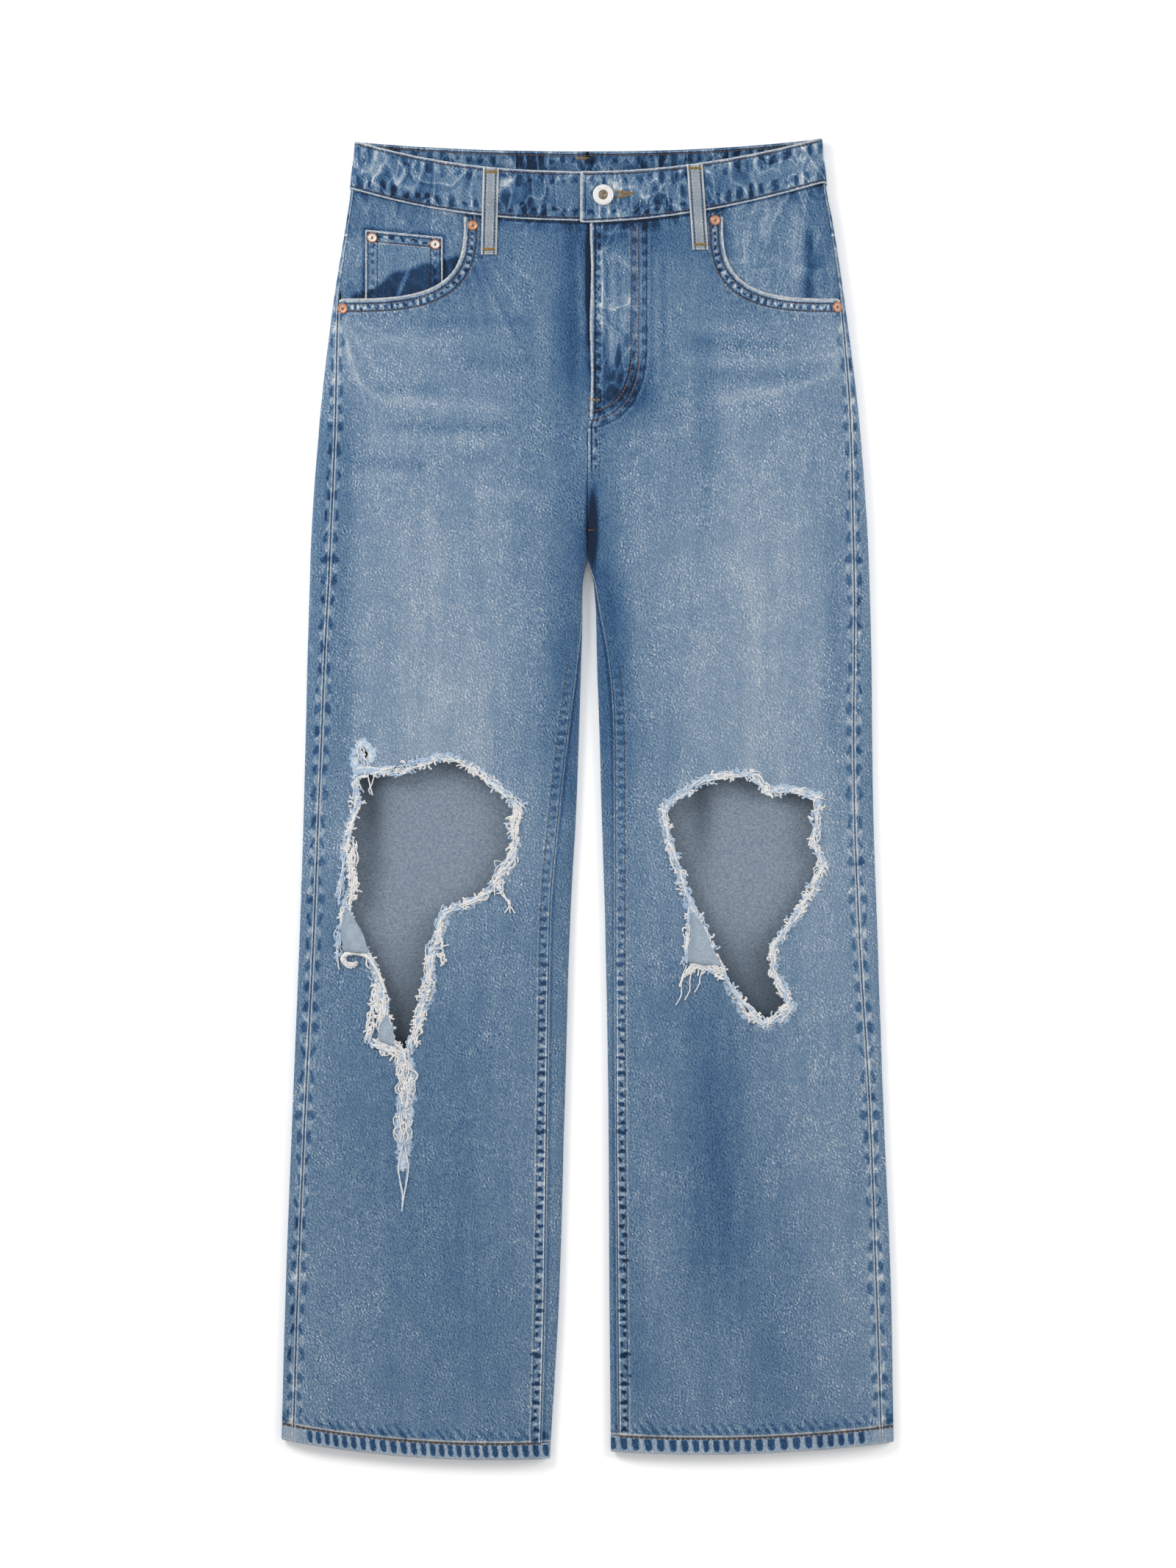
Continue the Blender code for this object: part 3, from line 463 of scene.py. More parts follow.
def torn_line(corners, step, jag):
    """The corners joined by a ragged line with points a step apart."""
    points = []
    for start, end in zip(corners, corners[1:] + corners[:1]):
        length = math.dist(start, end)
        count = max(int(length / step), 1)
        normal = ((end[1] - start[1]) / length, (start[0] - end[0]) / length)
        for i in range(count):
            t = i / count
            off = jag * dice.uniform(-1, 1) * (0.5 if i == 0 else 1)
            points.append((start[0] + (end[0] - start[0]) * t + normal[0] * off,
                           start[1] + (end[1] - start[1]) * t + normal[1] * off))
    return points


TORN = {side: torn_line(RIP[side], 2.2, 1.1) for side in (RIGHT, LEFT)}

# Front pocket mouths: a superellipse hung from the waistband at the side seam.
MOUTH_WIDTH, MOUTH_SIDE_X = {RIGHT: 101.5, LEFT: 95.5}, {RIGHT: 201.5, LEFT: 205}
MOUTH_DEPTH, MOUTH_TOP_Y, MOUTH_POWER = 67.5, 475, 3.2


def mouth_line(side, inset=0):
    """The pocket mouth from the waistband to the side seam, moved into the panel by inset."""
    turn = np.linspace(0, math.pi / 2, 90)
    width, depth = MOUTH_WIDTH[side] + inset, MOUTH_DEPTH + inset
    x = MOUTH_SIDE_X[side] - width * np.cos(turn) ** (2 / MOUTH_POWER)
    y = MOUTH_TOP_Y - depth * np.sin(turn) ** (2 / MOUTH_POWER)
    return x, y


def mouth_outline(side):
    """Everything of the front panel above and outside the pocket mouth."""
    x, y = mouth_line(side)
    beyond_x, beyond_y = 255, 545
    return [(x[0], beyond_y), *zip(x, y), (beyond_x, MOUTH_TOP_Y - MOUTH_DEPTH),
            (beyond_x, beyond_y)]


def nearest(outline, x, y, closed=True):
    """How far points are from an outline, how far along it that is, and its nearest points."""
    a = np.array(outline, float)
    b = np.roll(a, -1, axis=0)
    if not closed:
        a, b = a[:-1], b[:-1]
    spans = np.hypot(*(b - a).T)
    starts = np.concatenate([[0], np.cumsum(spans)[:-1]])
    best = np.full(len(x), np.inf)
    found = np.zeros((3, len(x)))
    for (ax, ay), (bx, by), length, start in zip(a, b, spans, starts):
        if length < 1e-9:
            continue
        t = np.clip(((x - ax) * (bx - ax) + (y - ay) * (by - ay)) / length ** 2, 0, 1)
        px, py = ax + (bx - ax) * t, ay + (by - ay) * t
        gap = np.hypot(x - px, y - py)
        closer = gap < best
        best[closer] = gap[closer]
        found[:, closer] = np.array([start + length * t, px, py])[:, closer]
    return best, *found


def inside(outline, x, y):
    """Which points lie inside a closed outline."""
    result = np.zeros(len(x), bool)
    for (ax, ay), (bx, by) in zip(outline, outline[1:] + outline[:1]):
        if ay == by:
            continue
        crosses = ((ay > y) != (by > y)) & (x < (bx - ax) * (y - ay) / (by - ay) + ax)
        result ^= crosses
    return result


RIM_PULL = 5              # how near a hole's outline grid points are drawn onto it


def placed(name, data):
    """New object of the scene that shows this data."""
    made = bpy.data.objects.new(name, data)
    bpy.context.collection.objects.link(made)
    return made


def riding(name, mesh, looks):
    """New piece in its looks that moves with the garment's one body."""
    for look in looks:
        mesh.materials.append(look)
    made = placed(name, mesh)
    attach(made, "root")
    return made


def meshed(bm, name):
    """Mesh of what the bmesh holds, which is then freed."""
    mesh = bpy.data.meshes.new(name)
    bm.to_mesh(mesh)
    bm.free()
    return mesh


def sheet(name, place, part, columns, rows, thickness, looks, flip=False, ring=False, holes=()):
    """Cloth wall: a fine grid set on its outer surface by place(part, column, row), with a look
    for its face, its inside and its cut edge, opened along the holes and thickened inwards."""
    bm = bmesh.new()
    bmesh.ops.create_grid(bm, x_segments=columns, y_segments=rows, size=0.5)
    bm.verts.ensure_lookup_table()
    flat = np.array([vert.co[:2] for vert in bm.verts]) + 0.5
    x, y, z, notes = place(part, np.rint(flat[:, 0] * columns), np.rint(flat[:, 1] * rows))
    faces = np.array([[vert.index for vert in face.verts] for face in bm.faces])
    gone = np.zeros(len(faces), bool)
    for side, outline in holes:
        hit = inside(outline, side * x[faces].mean(axis=1), y[faces].mean(axis=1))
        rim = np.intersect1d(faces[hit], faces[~hit & ~gone])
        gap, _, px, py = nearest(outline, side * x[rim], y[rim])
        near = gap < RIM_PULL
        x[rim[near]], y[rim[near]] = side * px[near], py[near]
        gone |= hit
    for vert, where in zip(bm.verts, lengths(x, y, z)):
        vert.co = where
    for key, values in (notes(x, y) if callable(notes) else notes).items():
        kinds = bm.verts.layers
        layer = (kinds.float if values.ndim == 1 else kinds.float_vector).new(key)
        for vert, value in zip(bm.verts, values):
            vert[layer] = value
    bm.faces.ensure_lookup_table()
    bmesh.ops.delete(bm, geom=[bm.faces[i] for i in np.flatnonzero(gone)], context="FACES")
    if ring:
        bmesh.ops.remove_doubles(bm, verts=bm.verts, dist=0.05 * MM)
    if flip:
        bmesh.ops.reverse_faces(bm, faces=bm.faces)
    made = riding(name, meshed(bm, name), looks)
    made.data.shade_smooth()
    wall = made.modifiers.new("wall", "SOLIDIFY")
    wall.thickness, wall.offset = thickness * MM, -1
    wall.use_even_offset = wall.use_quality_normals = True
    wall.material_offset, wall.material_offset_rim = 1, 2
    return made


def lengths(*values):
    """A note on the cloth: three distances in metres."""
    return np.column_stack(values) * MM


def wire(tree, node, inputs):
    """Set a node's inputs to values, or link them from sockets or from nodes' first outputs."""
    for key, value in inputs.items() if isinstance(inputs, dict) else enumerate(inputs):
        if isinstance(value, bpy.types.Node):
            value = value.outputs[0]
        if isinstance(value, bpy.types.NodeSocket):
            tree.links.new(value, node.inputs[key])
        else:
            node.inputs[key].default_value = value
    return node


def add(tree, kind, inputs=(), stops=(), **settings):
    """Add a shader node with its settings and its inputs, and a ramp's stops: each a place and a
    hex code, or a place and a level."""
    node = tree.nodes.new("ShaderNode" + kind)
    for key, value in settings.items():
        setattr(node, key, value)
    for number, (place, shade) in enumerate(stops):
        steps = node.color_ramp.elements
        if number == 0:
            steps.remove(steps[1])
        step = steps.new(place) if number else steps[0]
        step.position = place
        step.color = tint(shade) if isinstance(shade, str) else (shade, shade, shade, 1)
    return wire(tree, node, inputs)


def surface(name):
    """New material: itself, its node tree, its shader and the place on the piece."""
    look = bpy.data.materials.new(name)
    look.use_nodes = True
    tree = look.node_tree
    return look, tree, tree.nodes["Principled BSDF"], add(tree, "TexCoord").outputs["Object"]


def tint(code):
    """Linear colour of an sRGB hex code."""
    values = [int(code[i:i + 2], 16) / 255 for i in (1, 3, 5)]
    linear = [v / 12.92 if v <= 0.04045 else ((v + 0.055) / 1.055) ** 2.4 for v in values]
    return (*linear, 1)


# Indigo wears away from the raised yarns, so the colour runs from deep blue to the bare cotton.
INDIGO = ((0.00, "#14253b"), (0.15, "#213e60"), (0.30, "#3b5e84"), (0.45, "#5a7692"),
          (0.60, "#6f88a1"), (0.72, "#899bae"), (0.85, "#b2bcc7"), (1.00, "#e4e2de"))


def edge_wear(tree, wear_and_shade, distance, along, lines, ribs, strength):
    """Add what wear does beside an edge, and painted shade.  Lines are (distance, half width,
    amount): pale for worn cotton, dark for unworn indigo and painted shade in the stitched grooves;
    ribs, dark hollows in a row, are (distance, half width, period along the edge, amount), in
    millimetres."""
    marks = 0
    # Pale lines are worn cotton; dark lines are unworn indigo and painted shade in the grooves.
    for where, half, amount in lines:
        off = add(tree, "Math", (distance, where * MM), operation="SUBTRACT")
        off = add(tree, "Math", (off,), operation="ABSOLUTE")
        line = add(tree, "MapRange", (off, 0, half * MM, amount, 0),
                   interpolation_type="SMOOTHSTEP")
        marks = add(tree, "Math", (line, marks), operation="ADD")
    for where, half, period, amount in ribs:
        shape = add(tree, "CombineXYZ", (distance, along, 0))
        shape = add(tree, "TexNoise", {"Vector": shape, "Scale": 1.1 / (period * MM),
                                       "Detail": 2})
        shape = add(tree, "MapRange", (shape, 0.3, 0.7, -0.8 * half * MM, 0.8 * half * MM))
        off = add(tree, "Math", (distance, shape), operation="ADD")
        off = add(tree, "Math", (off, where * MM), operation="SUBTRACT")
        off = add(tree, "Math", (off,), operation="ABSOLUTE")
        window = add(tree, "MapRange", (off, 0, half * MM, 1, 0),
                     interpolation_type="SMOOTHSTEP")
        here = add(tree, "CombineXYZ", (0, along, 0))
        drift = add(tree, "TexNoise", {"Vector": here, "Scale": 0.25 / (period * MM),
                                       "Detail": 1})
        turn = add(tree, "Math", (along, 2 * math.pi / (period * MM)), operation="MULTIPLY")
        turn = add(tree, "Math", (drift, 10, turn), operation="MULTIPLY_ADD")
        wave = add(tree, "Math", (turn,), operation="COSINE")
        wave = add(tree, "Math", (wave, 0.5, 0.5), operation="MULTIPLY_ADD")
        both = add(tree, "Math", (wave, window), operation="MULTIPLY")
        spot = add(tree, "MapRange", (both, 0.15, 0.75, 0, -1.5 * amount),
                   interpolation_type="SMOOTHSTEP")
        rest = add(tree, "Math", (window, both), operation="SUBTRACT")
        pale = add(tree, "MapRange", (rest, 0.35, 0.85, 0, amount),
                   interpolation_type="SMOOTHSTEP")
        marks = add(tree, "Math", (spot, marks), operation="ADD")
        marks = add(tree, "Math", (marks, pale), operation="ADD")
    return add(tree, "Math", (marks, strength, wear_and_shade), operation="MULTIPLY_ADD")


def denim(name, edges=(), marble=0, grain=1, tear=False, shades=INDIGO):
    """Washed indigo twill: pale hairy squiggles of bare cotton over darker blue, with the wear that
    its seams and folded edges get and the shade painted into it.  A matt cloth with a little fuzz at
    grazing angles."""
    look, tree, shader, here = surface(name)
    wear_and_shade = add(tree, "Attribute", attribute_name="wear_and_shade").outputs["Fac"]
    clouds = add(tree, "TexNoise", {"Vector": here, "Scale": 42, "Detail": 3,
                                    "Roughness": 0.6})
    cloud = add(tree, "MapRange", (clouds, 0.25, 0.75, -0.035, 0.035))
    wear_and_shade = add(tree, "Math", (wear_and_shade, cloud), operation="ADD")
    # Soft bands down the cloth, where the wash rubbed its warp.
    drawn = add(tree, "Mapping", {"Vector": here, "Scale": (1, 0.14, 1)})
    bands = add(tree, "TexNoise", {"Vector": drawn, "Scale": 85, "Detail": 3,
                                   "Roughness": 0.6})
    band = add(tree, "MapRange", (bands, 0.3, 0.7, -0.038, 0.038))
    wear_and_shade = add(tree, "Math", (wear_and_shade, band), operation="ADD")
    if marble:
        # Crumpled places beside the stitching: soft hollows with thin pale creases between them.
        roped = add(tree, "Attribute", attribute_name="roped").outputs["Fac"]
        for scale, lean in ((26, 42), (44, -35)):
            turned_by = add(tree, "Mapping", {"Vector": here, "Rotation": (0, 0, math.radians(lean)),
                                              "Scale": (1, 0.6, 1)})
            fold = add(tree, "TexNoise", {"Vector": turned_by, "Scale": scale, "Detail": 1,
                                          "Roughness": 0.5, "Distortion": 0.9})
            crease = add(tree, "ValToRGB", (fold,), stops=(
                (0.30, 0.62), (0.40, 0.40), (0.47, 0.52), (0.495, 0.92), (0.503, 0.92),
                (0.52, 0.45), (0.58, 0.15), (0.68, 0.50)))
            amount = add(tree, "MapRange", (crease, 0, 1, -0.25 * marble, 0.27 * marble))
            wear_and_shade = add(tree, "Math", (amount, roped, wear_and_shade), operation="MULTIPLY_ADD")
    for attribute, part, lines, ribs, where in edges:
        note = add(tree, "Attribute", attribute_name=attribute).outputs["Vector"]
        split = add(tree, "SeparateXYZ", (note,)).outputs
        strength = add(tree, "Attribute", attribute_name=where).outputs["Fac"] if where else 1
        wear_and_shade = edge_wear(tree, wear_and_shade, split[part], split[2], lines, ribs, strength)

    # Curls 2.5 mm apart that lean down to the right, the yarns' hairy bare tops, broken up by
    # finer fuzz and a few long creases.  They show most on cloth that is half faded.
    curls = add(tree, "TexGabor", {"Vector": here, "Scale": 262, "Frequency": 1.55,
                                   "Anisotropy": 0.45, "Orientation": math.radians(24)})
    fuzz = add(tree, "TexNoise", {"Vector": here, "Scale": 560, "Detail": 2,
                                  "Roughness": 0.6, "Distortion": 0.8})
    hairs = add(tree, "Math", (curls, 0.75, fuzz), operation="MULTIPLY_ADD")
    leaning = add(tree, "Mapping", {"Vector": here, "Rotation": (0, 0, math.radians(-30)),
                                    "Scale": (1, 0.22, 1)})
    long = add(tree, "TexNoise", {"Vector": leaning, "Scale": 150, "Detail": 1})
    long = add(tree, "ValToRGB", (long,), stops=((0.40, 0.30), (0.48, 0.30), (0.50, 0.39),
                                                 (0.52, 0.24), (0.57, 0.30)))
    hairs = add(tree, "Math", (long, hairs), operation="ADD")
    bare = add(tree, "MapRange", (hairs, 0.84, 1.50, 0, 1))
    bare = add(tree, "Math", (bare, 1.2), operation="POWER")
    curl = add(tree, "MapRange", (bare, 0, 1, -0.23 * grain, 0.34 * grain))
    share = add(tree, "ValToRGB", (wear_and_shade,), stops=((0, 0.25), (0.3, 0.60), (0.5, 1), (0.6, 0.85),
                                                  (0.72, 0.50), (0.85, 0.32)))
    varied = add(tree, "MapRange", (clouds, 0.3, 0.7, 0.65, 1.35))
    share = add(tree, "Math", (share, varied), operation="MULTIPLY")
    wear_and_shade = add(tree, "Math", (curl, share, wear_and_shade), operation="MULTIPLY_ADD")
    colour = add(tree, "ValToRGB", (wear_and_shade,), stops=shades)
    if tear:
        # The torn knee bleaches to bare blue-white cotton in a ragged band along the edge.
        torn = add(tree, "Attribute", attribute_name="torn").outputs["Fac"]
        rough = add(tree, "TexNoise", {"Vector": here, "Scale": 300, "Detail": 3,
                                       "Roughness": 0.65})
        reach = add(tree, "MapRange", (rough, 0.3, 0.7, -3.2 * MM, 3.2 * MM))
        ragged = add(tree, "Math", (torn, reach), operation="ADD")
        bare = add(tree, "MapRange", (ragged, 3.6 * MM, 5.2 * MM, 0.9, 0),
                   interpolation_type="SMOOTHSTEP")
        bleached = add(tree, "ValToRGB", (rough,),
                       stops=((0.34, "#a3bdd8"), (0.50, "#cfdce8"), (0.62, "#eeeded")))
        colour = add(tree, "Mix", {"Factor": bare, 6: colour, 7: bleached},
                     data_type="RGBA").outputs[2]
    bump = add(tree, "Bump", {"Strength": 0.05, "Distance": 0.8 * MM, "Height": hairs})
    wire(tree, shader, {"Base Color": colour, "Normal": bump, "Roughness": 0.92,
                        "Specular IOR Level": 0.2, "Sheen Weight": 0.08, "Sheen Roughness": 0.5})
    return look


def blotched(name, low, high, spread, noise, bite, depth):
    """New material in two close tones that meet in soft blotches, which also roughen it."""
    look, tree, shader, here = surface(name)
    blotch = add(tree, "TexNoise", {"Vector": here, "Detail": 3, **noise})
    tone = add(tree, "MapRange", (blotch, 0.5 - spread, 0.5 + spread))
    colour = add(tree, "Mix", {"Factor": tone, 6: tint(low), 7: tint(high)},
                 data_type="RGBA").outputs[2]
    bump = add(tree, "Bump", {"Strength": bite, "Distance": depth * MM, "Height": blotch})
    wire(tree, shader, {"Base Color": colour, "Normal": bump})
    return look, tree, shader, blotch, colour


def plain_cotton(name, low, high, scale, rough=0.95, bite=0.4, shaded=None):
    """Undyed or lightly dyed cotton yarns: two close tones in a fine uneven weave, quite matt."""
    look, tree, shader, _, colour = blotched(
        name, low, high, 0.16, {"Scale": scale, "Roughness": 0.65, "Distortion": 0.6}, bite, 0.5)
    if shaded:
        # Painted shade: darker as far as its own attribute says.
        dark = add(tree, "Attribute", attribute_name="painted_shade").outputs["Fac"]
        colour = add(tree, "Mix", {"Factor": dark, 6: colour, 7: tint(shaded)}, data_type="RGBA")
        wire(tree, shader, {"Base Color": colour.outputs[2]})
    wire(tree, shader, {"Roughness": rough, "Specular IOR Level": 0.2, "Sheen Weight": 0.15})
    return look


# The inside of denim shows its grey weft; a cut edge shows pale yarn ends.
denim_inside = plain_cotton("denim_weft_side", "#6a7a8c", "#97a4b2", 640)
yarn_edge = plain_cotton("denim_cut_edge", "#7d90a6", "#d8d9da", 500)

front_denim = denim(
    "denim_front",
    edges=(
        ("seams", 0, ((0, 0.5, -0.18), (1.1, 0.9, 0.26)), ((3.8, 3.8, 17.5, 0.17),), None),
        ("seams", 1, ((0, 0.8, -0.35), (1.4, 0.8, 0.48), (7.7, 0.6, -0.20), (9, 1.5, 0.22)),
         ((4.7, 4.6, 7.6, 0.28),), "felled"),
        ("rims", 0, ((1, 2.2, -0.30), (5, 6, -0.05)), (), None),
        ("rims", 1, ((1.3, 1.6, 0.50), (5, 3, -0.06)), ((6.6, 6, 8.3, 0.10),), None),
        ("mouth", 0, ((1, 1.6, 0.36), (3, 0.8, -0.34), (6.3, 3, 0.12), (9.6, 0.9, -0.34),
                      (11.2, 1.4, 0.08)), ((6.3, 2.8, 5.7, 0.26), (14, 4, 9, 0.05)), None),
        ("fly", 0, ((0, 0.7, -0.30), (6, 0.8, -0.24), (1.6, 1, 0.16), (8, 1.6, 0.12)),
         ((4.2, 3.6, 10.5, 0.09),), None),
        ("seams", 1, ((1, 1.2, 0.30), (3, 0.8, -0.50), (4.6, 1.2, 0.12), (8.6, 1, 0.22)),
         ((6, 3.2, 9, 0.16),), "fly_side"),
    ),
    marble=0.9, tear=True)

FRONT_COLUMNS, FRONT_ROWS = 100, 344
FRONT_EASE, BACK_EASE = 0.62, 0.7       # how much closer the grid's columns lie at its ends
FLY_EDGE, FLY_REACH = 3, -9
FLY_DIP_START, FLY_DIP_FULL = 16, 7
FLY_STITCH = ((42, 470), (42, 365), (39.5, 345), (33, 328), (22, 316),
              (8, 309.5), (0, 309))
SEAM_PITCH, FELL_PITCH = 18, 9.5        # from pucker to pucker on the two leg seams
BAND_REACH = 7            # width of the felled band beside the inseam
PANEL_LOW = min(rule[0] for rule in HEM_LINE.values()) + HEM_TURN
PANEL_HIGH = 500


def close_ends(t, ease):
    """Shares from 0 to 1 that lie closer together near both ends."""
    return t - ease * np.sin(2 * math.pi * t) / (2 * math.pi)


def front_start(side, y):
    """Where the front's inner edge starts along the section: past the centre line in the fly."""
    on_leg = mark(side, y, "seam") + inseam_room(y)
    if side == LEFT:
        fly = FLY_EDGE * ramp(y, FLY_END_Y - 18, FLY_END_Y - 6)
    else:
        fly = FLY_REACH * ramp(y, FLY_END_Y - 24, FLY_END_Y - 12)
    return np.where(y <= CROTCH_Y, on_leg, fly)


def fly_dip(side, s, y):
    """How far the layer under the fly's overlap lies below the top face."""
    if side == LEFT:
        return 0
    across = ramp(s, FLY_DIP_START, FLY_DIP_FULL)
    return (CLOTH + GAP) * across * ramp(y, FLY_END_Y - 40, FLY_END_Y - 24)


def felled(d, y):
    """Height of the doubled band beside the inseam, with its puckers."""
    grown = ramp(y, 140, 60)
    band = ramp(d, BAND_REACH + 1.6, BAND_REACH - 0.4) * ramp(d, -0.2, 0.9)
    pucker = 0.16 * np.cos(2 * math.pi * y / FELL_PITCH + 1.5 * np.sin(y / 31))
    return grown * band * (0.55 + pucker)


def seam_ribs(outer, y):
    """Height of the ribs that the shrunken side seam puckers the cloth beside it into."""
    return np.cos(2 * math.pi * y / SEAM_PITCH) * ramp(outer, 9, 2) * ramp(outer, 0, 2)


def front_place(side, column, row):
    """Placing rule of a front panel's grid."""
    t = row / FRONT_ROWS
    y = PANEL_LOW + (PANEL_HIGH - PANEL_LOW) * t
    for _ in range(5):
        start, end = front_start(side, y), mark(side, y, "side") - GAP / 2
        s = start + (end - start) * close_ends(column / FRONT_COLUMNS, FRONT_EASE)
        x, z = on_cloth(side, y, s)
        low = hem_edge(side, x) + HEM_TURN + GAP
        high = band_edges(side, x, z, y)[0] - GAP
        y = low + (high - low) * t
    outer, inner = end - s, s - start
    lift = felled(inner, y) - 0.2 * ramp(outer, 1, 0) - 0.5 * ramp(y, low + 1.5, low)
    lift += 0.22 * seam_ribs(outer, y)
    x, z = on_cloth(side, y, s, lift)

    def notes(x, y):
        tear = nearest(RIP[side], side * x, y)[0]
        if side == RIGHT:
            tear = np.minimum(tear, nearest(SMALL_HOLE, side * x, y)[0] - 2)
            braid = nearest(BRAID, side * x, y, closed=False)[0]
            tear = np.minimum(tear, braid - 2.5 * ramp(y, -300, -270))
        line = np.column_stack(mouth_line(side))
        mouth, along, _, _ = nearest(line, side * x, y, closed=False)
        jay, down, _, _ = nearest(FLY_STITCH, side * x, y, closed=False)
        jay = np.where(side == LEFT, jay, 100)
        roped = np.maximum.reduce([
            0.7 * ramp(inner, 14, 6) * ramp(y, 250, 330), 0.5 * ramp(mouth, 16, 8),
            0.7 * ramp(high - y, 14, 3), 0.5 * ramp(y - low, 11, 2),
            0.75 * ramp(x, 44, 38) * ramp(y, 312, 330) * (side == LEFT)])
        # The ribs above the hem slant up to the left.
        slant = x + 0.75 * np.minimum(y - low, 14)
        return {"wear_and_shade": wash_and_shade(side, side * x, y), "roped": roped, "torn": tear * MM,
                "felled": 0.35 * ramp(y, 130, 60) + 0.65 * ramp(y, 0, -260),
                "fly_side": ramp(y, 262, 275) * (side == LEFT),
                "seams": lengths(outer, inner, y), "rims": lengths(high - y, y - low, slant),
                "mouth": lengths(mouth, mouth, along), "fly": lengths(jay, jay, down)}

    return side * x, y, z - fly_dip(side, s, y), notes


for side in (RIGHT, LEFT):
    holes = [(side, TORN[side]), (side, mouth_outline(side))]
    if side == RIGHT:
        holes.append((side, list(SMALL_HOLE)))
    sheet("panel_front_" + SIDE_NAME[side], front_place, side, FRONT_COLUMNS,
                         FRONT_ROWS, CLOTH, (front_denim, denim_inside, yarn_edge),
                         side == RIGHT, holes=holes)
    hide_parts("front_" + SIDE_NAME[side])

# ---- Back panels ---------------------------------------------------------------------------
# Each back is one darker, less sanded piece.  It wraps round the outer fold of the leg to the
# side seam on the top face, and its inside shows through the torn knee.
back_denim = denim(
    "denim_back",
    edges=(
        ("seams", 0, ((0, 0.4, -0.10), (1, 0.9, 0.34)), ((3.8, 3.8, 17.5, 0.18),), None),
        ("seams", 1, ((0.3, 0.8, 0.30), (2.2, 2, -0.16)), (), None),
        ("rims", 1, ((1.3, 1.6, 0.40), (5, 3, -0.08)), ((5.5, 5, 11, 0.12),), None),
    ),
    marble=0.8)
back_inside = plain_cotton("denim_weft_side_of_back", "#6a7a8c", "#97a4b2", 640,
                           shaded="#35424f")
BACK_COLUMNS, BACK_ROWS = 80, 170
YOKE_CENTRE_Y, YOKE_SIDE_Y = 424, 459
BACK_WASH_COLUMNS = ("y", "level")
BACK_WASH = ((500, 0.46), (420, 0.46), (300, 0.56), (100, 0.5), (-100, 0.46),
             (-520, 0.48))


def yoke_edge(side, x):
    """Height of the yoke seam at distance x from the centre line."""
    half = float(smooth(YOKE_SIDE_Y, CUT[side], CUT_COLUMNS, "side"))
    return YOKE_CENTRE_Y + (YOKE_SIDE_Y - YOKE_CENTRE_Y) * np.minimum(np.abs(x) / half, 1)


def back_ends(side, y):
    """Ends of the back along the section: the side seam and the inner edge."""
    start = mark(side, y, "side") + GAP / 2
    return start, mark(side, y, "end") + mark(side, y, "seam") - inseam_room(y)


def back_worn(side, x, y, z):
    """The wash of the back: it follows the front on the top face and is plainer underneath."""
    under = smooth(y, BACK_WASH, BACK_WASH_COLUMNS, "level")
    above = ramp(z, 3, 9)
    return under * (1 - above) + wash_and_shade(side, x, y) * above


def back_place(side, column, row):
    """Placing rule of a back panel's grid."""
    t = row / BACK_ROWS
    y = PANEL_LOW + (YOKE_CENTRE_Y - PANEL_LOW) * t
    for _ in range(5):
        start, end = back_ends(side, y)
        s = start + (end - start) * close_ends(column / BACK_COLUMNS, BACK_EASE)
        x, z = on_cloth(side, y, s)
        low = hem_edge(side, x) + HEM_TURN + GAP
        high = yoke_edge(side, x) - GAP / 2
        y = low + (high - low) * t
    outer = s - start
    lift = 0.35 * ramp(outer, 5, 1.2) - 0.5 * ramp(outer, 1, 0)
    lift += 0.25 * seam_ribs(outer, y)
    lift -= 0.5 * ramp(y, low + 1.5, low)
    x, z = on_cloth(side, y, s, lift * ramp(z, 4, 9))
    # Painted shade on the inside: dark low in each knee hole, along one upright fold in it and in
    # the right one's top corner.
    fold_x, fold_low = (93, -80) if side == LEFT else (175, -120)
    inside_shade = 0.45 * ramp(y, -90, -190)
    inside_shade += 0.6 * np.exp(-((np.abs(x) - fold_x) / 10) ** 2) * ramp(y, fold_low, -10)
    if side == LEFT:
        inside_shade += 0.2 * ramp(y, -70, -150)
    else:
        inside_shade += 0.3 * np.exp(-((np.abs(x) - 182) / 9) ** 2 - ((y - 12) / 12) ** 2)
    return side * x, y, z, {
        "wear_and_shade": back_worn(side, x, y, z), "painted_shade": np.clip(inside_shade, 0, 0.9),
        "roped": np.maximum(0.7 * ramp(outer, 8, 4), ramp(y - low, 9, 2)),
        "seams": lengths(outer, end - s, y), "rims": lengths(high - y, y - low, x)}


for side in (RIGHT, LEFT):
    sheet("panel_back_" + SIDE_NAME[side], back_place, side, BACK_COLUMNS,
                        BACK_ROWS, CLOTH, (back_denim, back_inside, yarn_edge), side == RIGHT)
    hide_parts("back_" + SIDE_NAME[side])

# ---- Yokes ---------------------------------------------------------------------------------
# Each yoke is the shaped strip between a back panel and the waistband, lapped over the panel.
YOKE_ROWS = 22


def yoke_place(side, column, row):
    """Placing rule of a yoke's grid."""
    t = row / YOKE_ROWS
    y = np.full(t.shape, 450.0)
    for _ in range(5):
        start, end = back_ends(side, y)
        s = start + (end - start) * close_ends(column / BACK_COLUMNS, BACK_EASE)
        x, z = on_cloth(side, y, s)
        low = yoke_edge(side, x) + GAP / 2
        high = band_edges(side, x, z, y)[0] - GAP
        y = low + (high - low) * t
    outer = s - start
    lift = 0.35 * ramp(outer, 5, 1.2) - 0.7 * ramp(outer, 1, 0)
    x, z = on_cloth(side, y, s, lift * ramp(z, 4, 9))
    return side * x, y, z, {
        "wear_and_shade": back_worn(side, x, y, z), "roped": 0.6 * ramp(outer, 8, 4),
        "seams": lengths(outer, end - s, y), "rims": lengths(high - y, y - low, x)}


